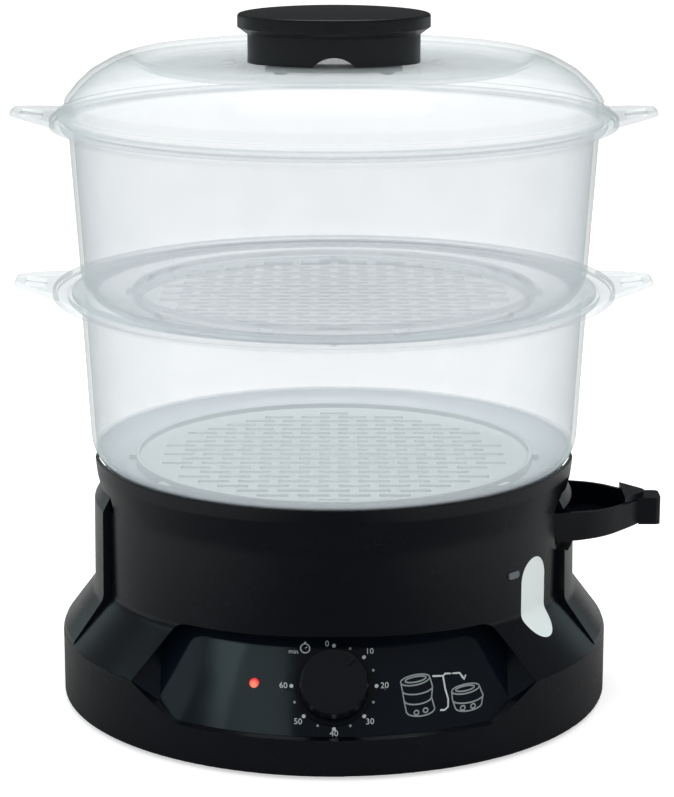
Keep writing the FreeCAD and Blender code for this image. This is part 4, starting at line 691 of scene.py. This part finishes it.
def lay_print(name, finish, parts):
    """Lay flat (shape, across, height, upright scale) parts on the panel as one printed piece.

    The record has no slot for ink, so it takes the white plastic's.
    """
    ink = bmesh.new()
    for shape, x, z, rise in parts:
        for vert in shape.verts:
            u, v, w = vert.co
            vert.co = panel_point(x + u, z + v * rise, w + INK_T / 2)
        bmesh.ops.remove_doubles(shape, verts=shape.verts, dist=MERGE * MM)
        bmesh.ops.recalc_face_normals(shape, faces=shape.faces)
        join(ink, shape)
    add_piece(name, ink, "white_plastic", "base", finish=finish)


def on_ring(radius, minutes):
    """Front-view place on a circle round the dial, clockwise from its top."""
    angle = math.radians(minutes * DEG_PER_MINUTE)
    return radius * math.sin(angle), DIAL_Z + radius * math.cos(angle) * SLOPE_RISE


def numeral_place(minutes):
    if minutes == 0:
        return ZERO_X, DIAL_Z + ZERO_UP * SLOPE_RISE
    return on_ring(NUMERAL_RING - (FORTY_IN if minutes == 40 else 0), minutes)


def add_dial_print():
    marks = []
    for minutes in range(0, 70, 10):
        marks.append((dot(DOT_R), *on_ring(DOT_RING, minutes), SLOPE_RISE))
        marks.append((words(str(minutes), NUMERAL_SIZE), *numeral_place(minutes), SLOPE_RISE))
    marks.append((words("min", MIN_SIZE), *MIN_PLACE, SLOPE_RISE))
    for mark in (oval_line(WATCH_W, 0, 0, WATCH_R, WATCH_R), line(WATCH_CROWN, CROWN_W),
                 line(WATCH_HAND, HAND_W)):
        marks.append((mark, *WATCH_PLACE, SLOPE_RISE))
    lay_print("dial_print", INK_WHITE, marks)
    halves = [(dot(HALF_DOT_R), *on_ring(DOT_RING, minutes), SLOPE_RISE) for minutes in range(5, 60, 10)]
    lay_print("dial_half_marks", INK_GREY, halves)


def add_pictures():
    """Plain outlines of the bowls in use and put away, with an arrow between them."""
    drawn = [oval_line(OUTLINE_W, *rim) for rim in PICTURE_RIMS]
    drawn += [line(oval(*hoop, start=180), OUTLINE_W) for hoop in PICTURE_HOOPS]
    drawn += [line(side, OUTLINE_W) for side in PICTURE_SIDES]
    drawn += [oval_line(OUTLINE_W, *middle, *PICTURE_KNOB_HALF) for middle in PICTURE_KNOBS]
    lay_print("bowl_outlines", INK_GREY, [(shape, 0, 0, 1) for shape in drawn])
    lay_print("stack_or_nest_arrow", INK_WHITE, [(line(path, ARROW_W), 0, 0, 1) for path in ARROW_LINES])


# ---------------------------------------------------------------- studio

def add_camera():
    data = bpy.data.cameras.new("camera")
    data.sensor_width = SENSOR_MM
    data.lens = FOCAL_PX / IMAGE_H_PX * SENSOR_MM
    data.shift_x = (IMAGE_W_PX / 2 - AXIS_PX) / IMAGE_H_PX
    camera = bpy.data.objects.new("camera", data)
    camera.location = (0, -CAMERA_BACK, CAMERA_UP)
    camera.rotation_euler = (math.pi / 2 - CAMERA_PITCH, 0, 0)
    bpy.context.scene.collection.objects.link(camera)
    bpy.context.scene.camera = camera


def seen(tree, rays):
    """1 where the camera sees the surface, plainly or through something clear, and 0 elsewhere."""
    return larger(tree, rays.outputs["Is Camera Ray"], rays.outputs["Is Transmission Ray"])


def add_floor():
    """Grey sweep that is lit up to white where it is seen, and keeps the object's shadow."""
    shape = bmesh.new()
    bmesh.ops.create_grid(shape, x_segments=1, y_segments=1, size=SWEEP_HALF)
    mesh = bpy.data.meshes.new("floor")
    shape.to_mesh(mesh)
    shape.free()
    floor = bpy.data.objects.new("floor", mesh)
    bpy.context.scene.collection.objects.link(floor)
    material, tree, shader = new_finish("matt_sweep_paper", SWEEP_GREY, 0.9, Specular_IOR_Level=0.0)
    shader.inputs["Emission Color"].default_value = (1, 1, 1, 1)
    rays = add_node(tree, "ShaderNodeLightPath")
    glow = add_node(tree, "ShaderNodeMapRange", [(seen(tree, rays), "Value")], To_Max=SWEEP_GLOW)
    tree.links.new(glow.outputs["Result"], shader.inputs["Emission Strength"])
    # in reflections the sweep is painted: painted shade at its front, and painted light at its sides and
    # back, which the black housing shows as painted reflections
    axes = object_axes(tree)
    front, back = PAINTED_SHADE_DEPTH
    behind = add_node(tree, "ShaderNodeMapRange", [(axes.outputs["Y"], "Value")],
                      From_Min=front, From_Max=back, To_Min=PAINTED_SHADE_FRONT, To_Max=PAINTED_LIGHT_BACK)
    off_middle = add_node(tree, "ShaderNodeMath", [(axes.outputs["X"], 0)], operation="ABSOLUTE")
    near, far = PAINTED_SHADE_WIDTH
    beside = add_node(tree, "ShaderNodeMapRange", [(off_middle.outputs["Value"], "Value")],
                      From_Min=near, From_Max=far, To_Max=PAINTED_LIGHT_SIDE)
    paper = add_node(tree, "ShaderNodeMix", [(rays.outputs["Is Glossy Ray"], "Factor")], data_type="RGBA")
    paper.inputs[COLOUR_A].default_value = linear(SWEEP_GREY)
    # painted reflection: the sweep's colour as a reflection, darker at the front and lighter at the sides
    # and back
    painted_reflection = larger(tree, behind.outputs["Result"], beside.outputs["Result"])
    tree.links.new(painted_reflection, paper.inputs[COLOUR_B])
    tree.links.new(paper.outputs[COLOUR_OUT], shader.inputs["Base Color"])
    mesh.materials.append(material)


def add_world():
    """White where it is seen; dark flags all round for reflections, so that the blacks stay black."""
    world = bpy.data.worlds.new("studio")
    bpy.context.scene.world = world
    world.use_nodes = True
    tree = world.node_tree
    backdrop = tree.nodes["Background"]
    backdrop.inputs["Color"].default_value = (1, 1, 1, 1)
    rays = add_node(tree, "ShaderNodeLightPath")
    unseen = add_node(tree, "ShaderNodeMapRange", [(rays.outputs["Is Glossy Ray"], "Value")],
                      To_Min=WORLD_ON_OBJECT, To_Max=WORLD_MIRRORED)
    level = add_node(tree, "ShaderNodeMapRange",
                     [(seen(tree, rays), "Value"), (unseen.outputs["Result"], "To Min")], To_Max=1.0)
    tree.links.new(level.outputs["Result"], backdrop.inputs["Strength"])


def add_soft_box(name, place, target, size, radiance, colour):
    data = bpy.data.lights.new(name, "AREA")
    data.color = linear(colour)[:3]
    data.shape = "RECTANGLE"
    data.size, data.size_y = size
    data.energy = radiance * math.pi * size[0] * size[1]
    light = bpy.data.objects.new(name, data)
    light.location = place
    light.rotation_euler = (Vector(target) - Vector(place)).to_track_quat("-Z", "Y").to_euler()
    bpy.context.scene.collection.objects.link(light)


# ---------------------------------------------------------------- the steamer and its studio

add_camera()
add_bowl("lower_bowl", LOWER_BOWL_Z, foot_r=111.2, top_r=115.4, collar_r=119.7, finish=FOOT_PAINTED_LIGHT_FINISH)
add_bowl("upper_bowl", UPPER_BOWL_Z, foot_r=114.5, top_r=119.4, collar_r=121.6, rib_r=119.4)
add_lid()
add_base_skin()
for node_name in ("control_fascia", "dial_ring", "timer_knob", "pilot_lens",
                  "filler_spout", "spout_tip", "level_mark", "lid_handle", "feet", "cord_inlet"):
    add_skin(node_name)
add_skin("water_window", WINDOW_FINISH)
add_skin("lower_grid", LOW_FLOOR_PAINTED_LIGHT_FINISH)
add_skin("upper_grid", FLOOR_FINISH)
for node_name, node_object in frame["nodes"].items():
    node_object.material_slots[0].material = FINISHES[SLOT_OF[node_name]]
add_dial_print()
add_pictures()
add_floor()
add_world()
for box_name, setting in SOFT_BOXES.items():
    add_soft_box(box_name, *setting)
bpy.context.scene.view_settings.view_transform = "Standard"
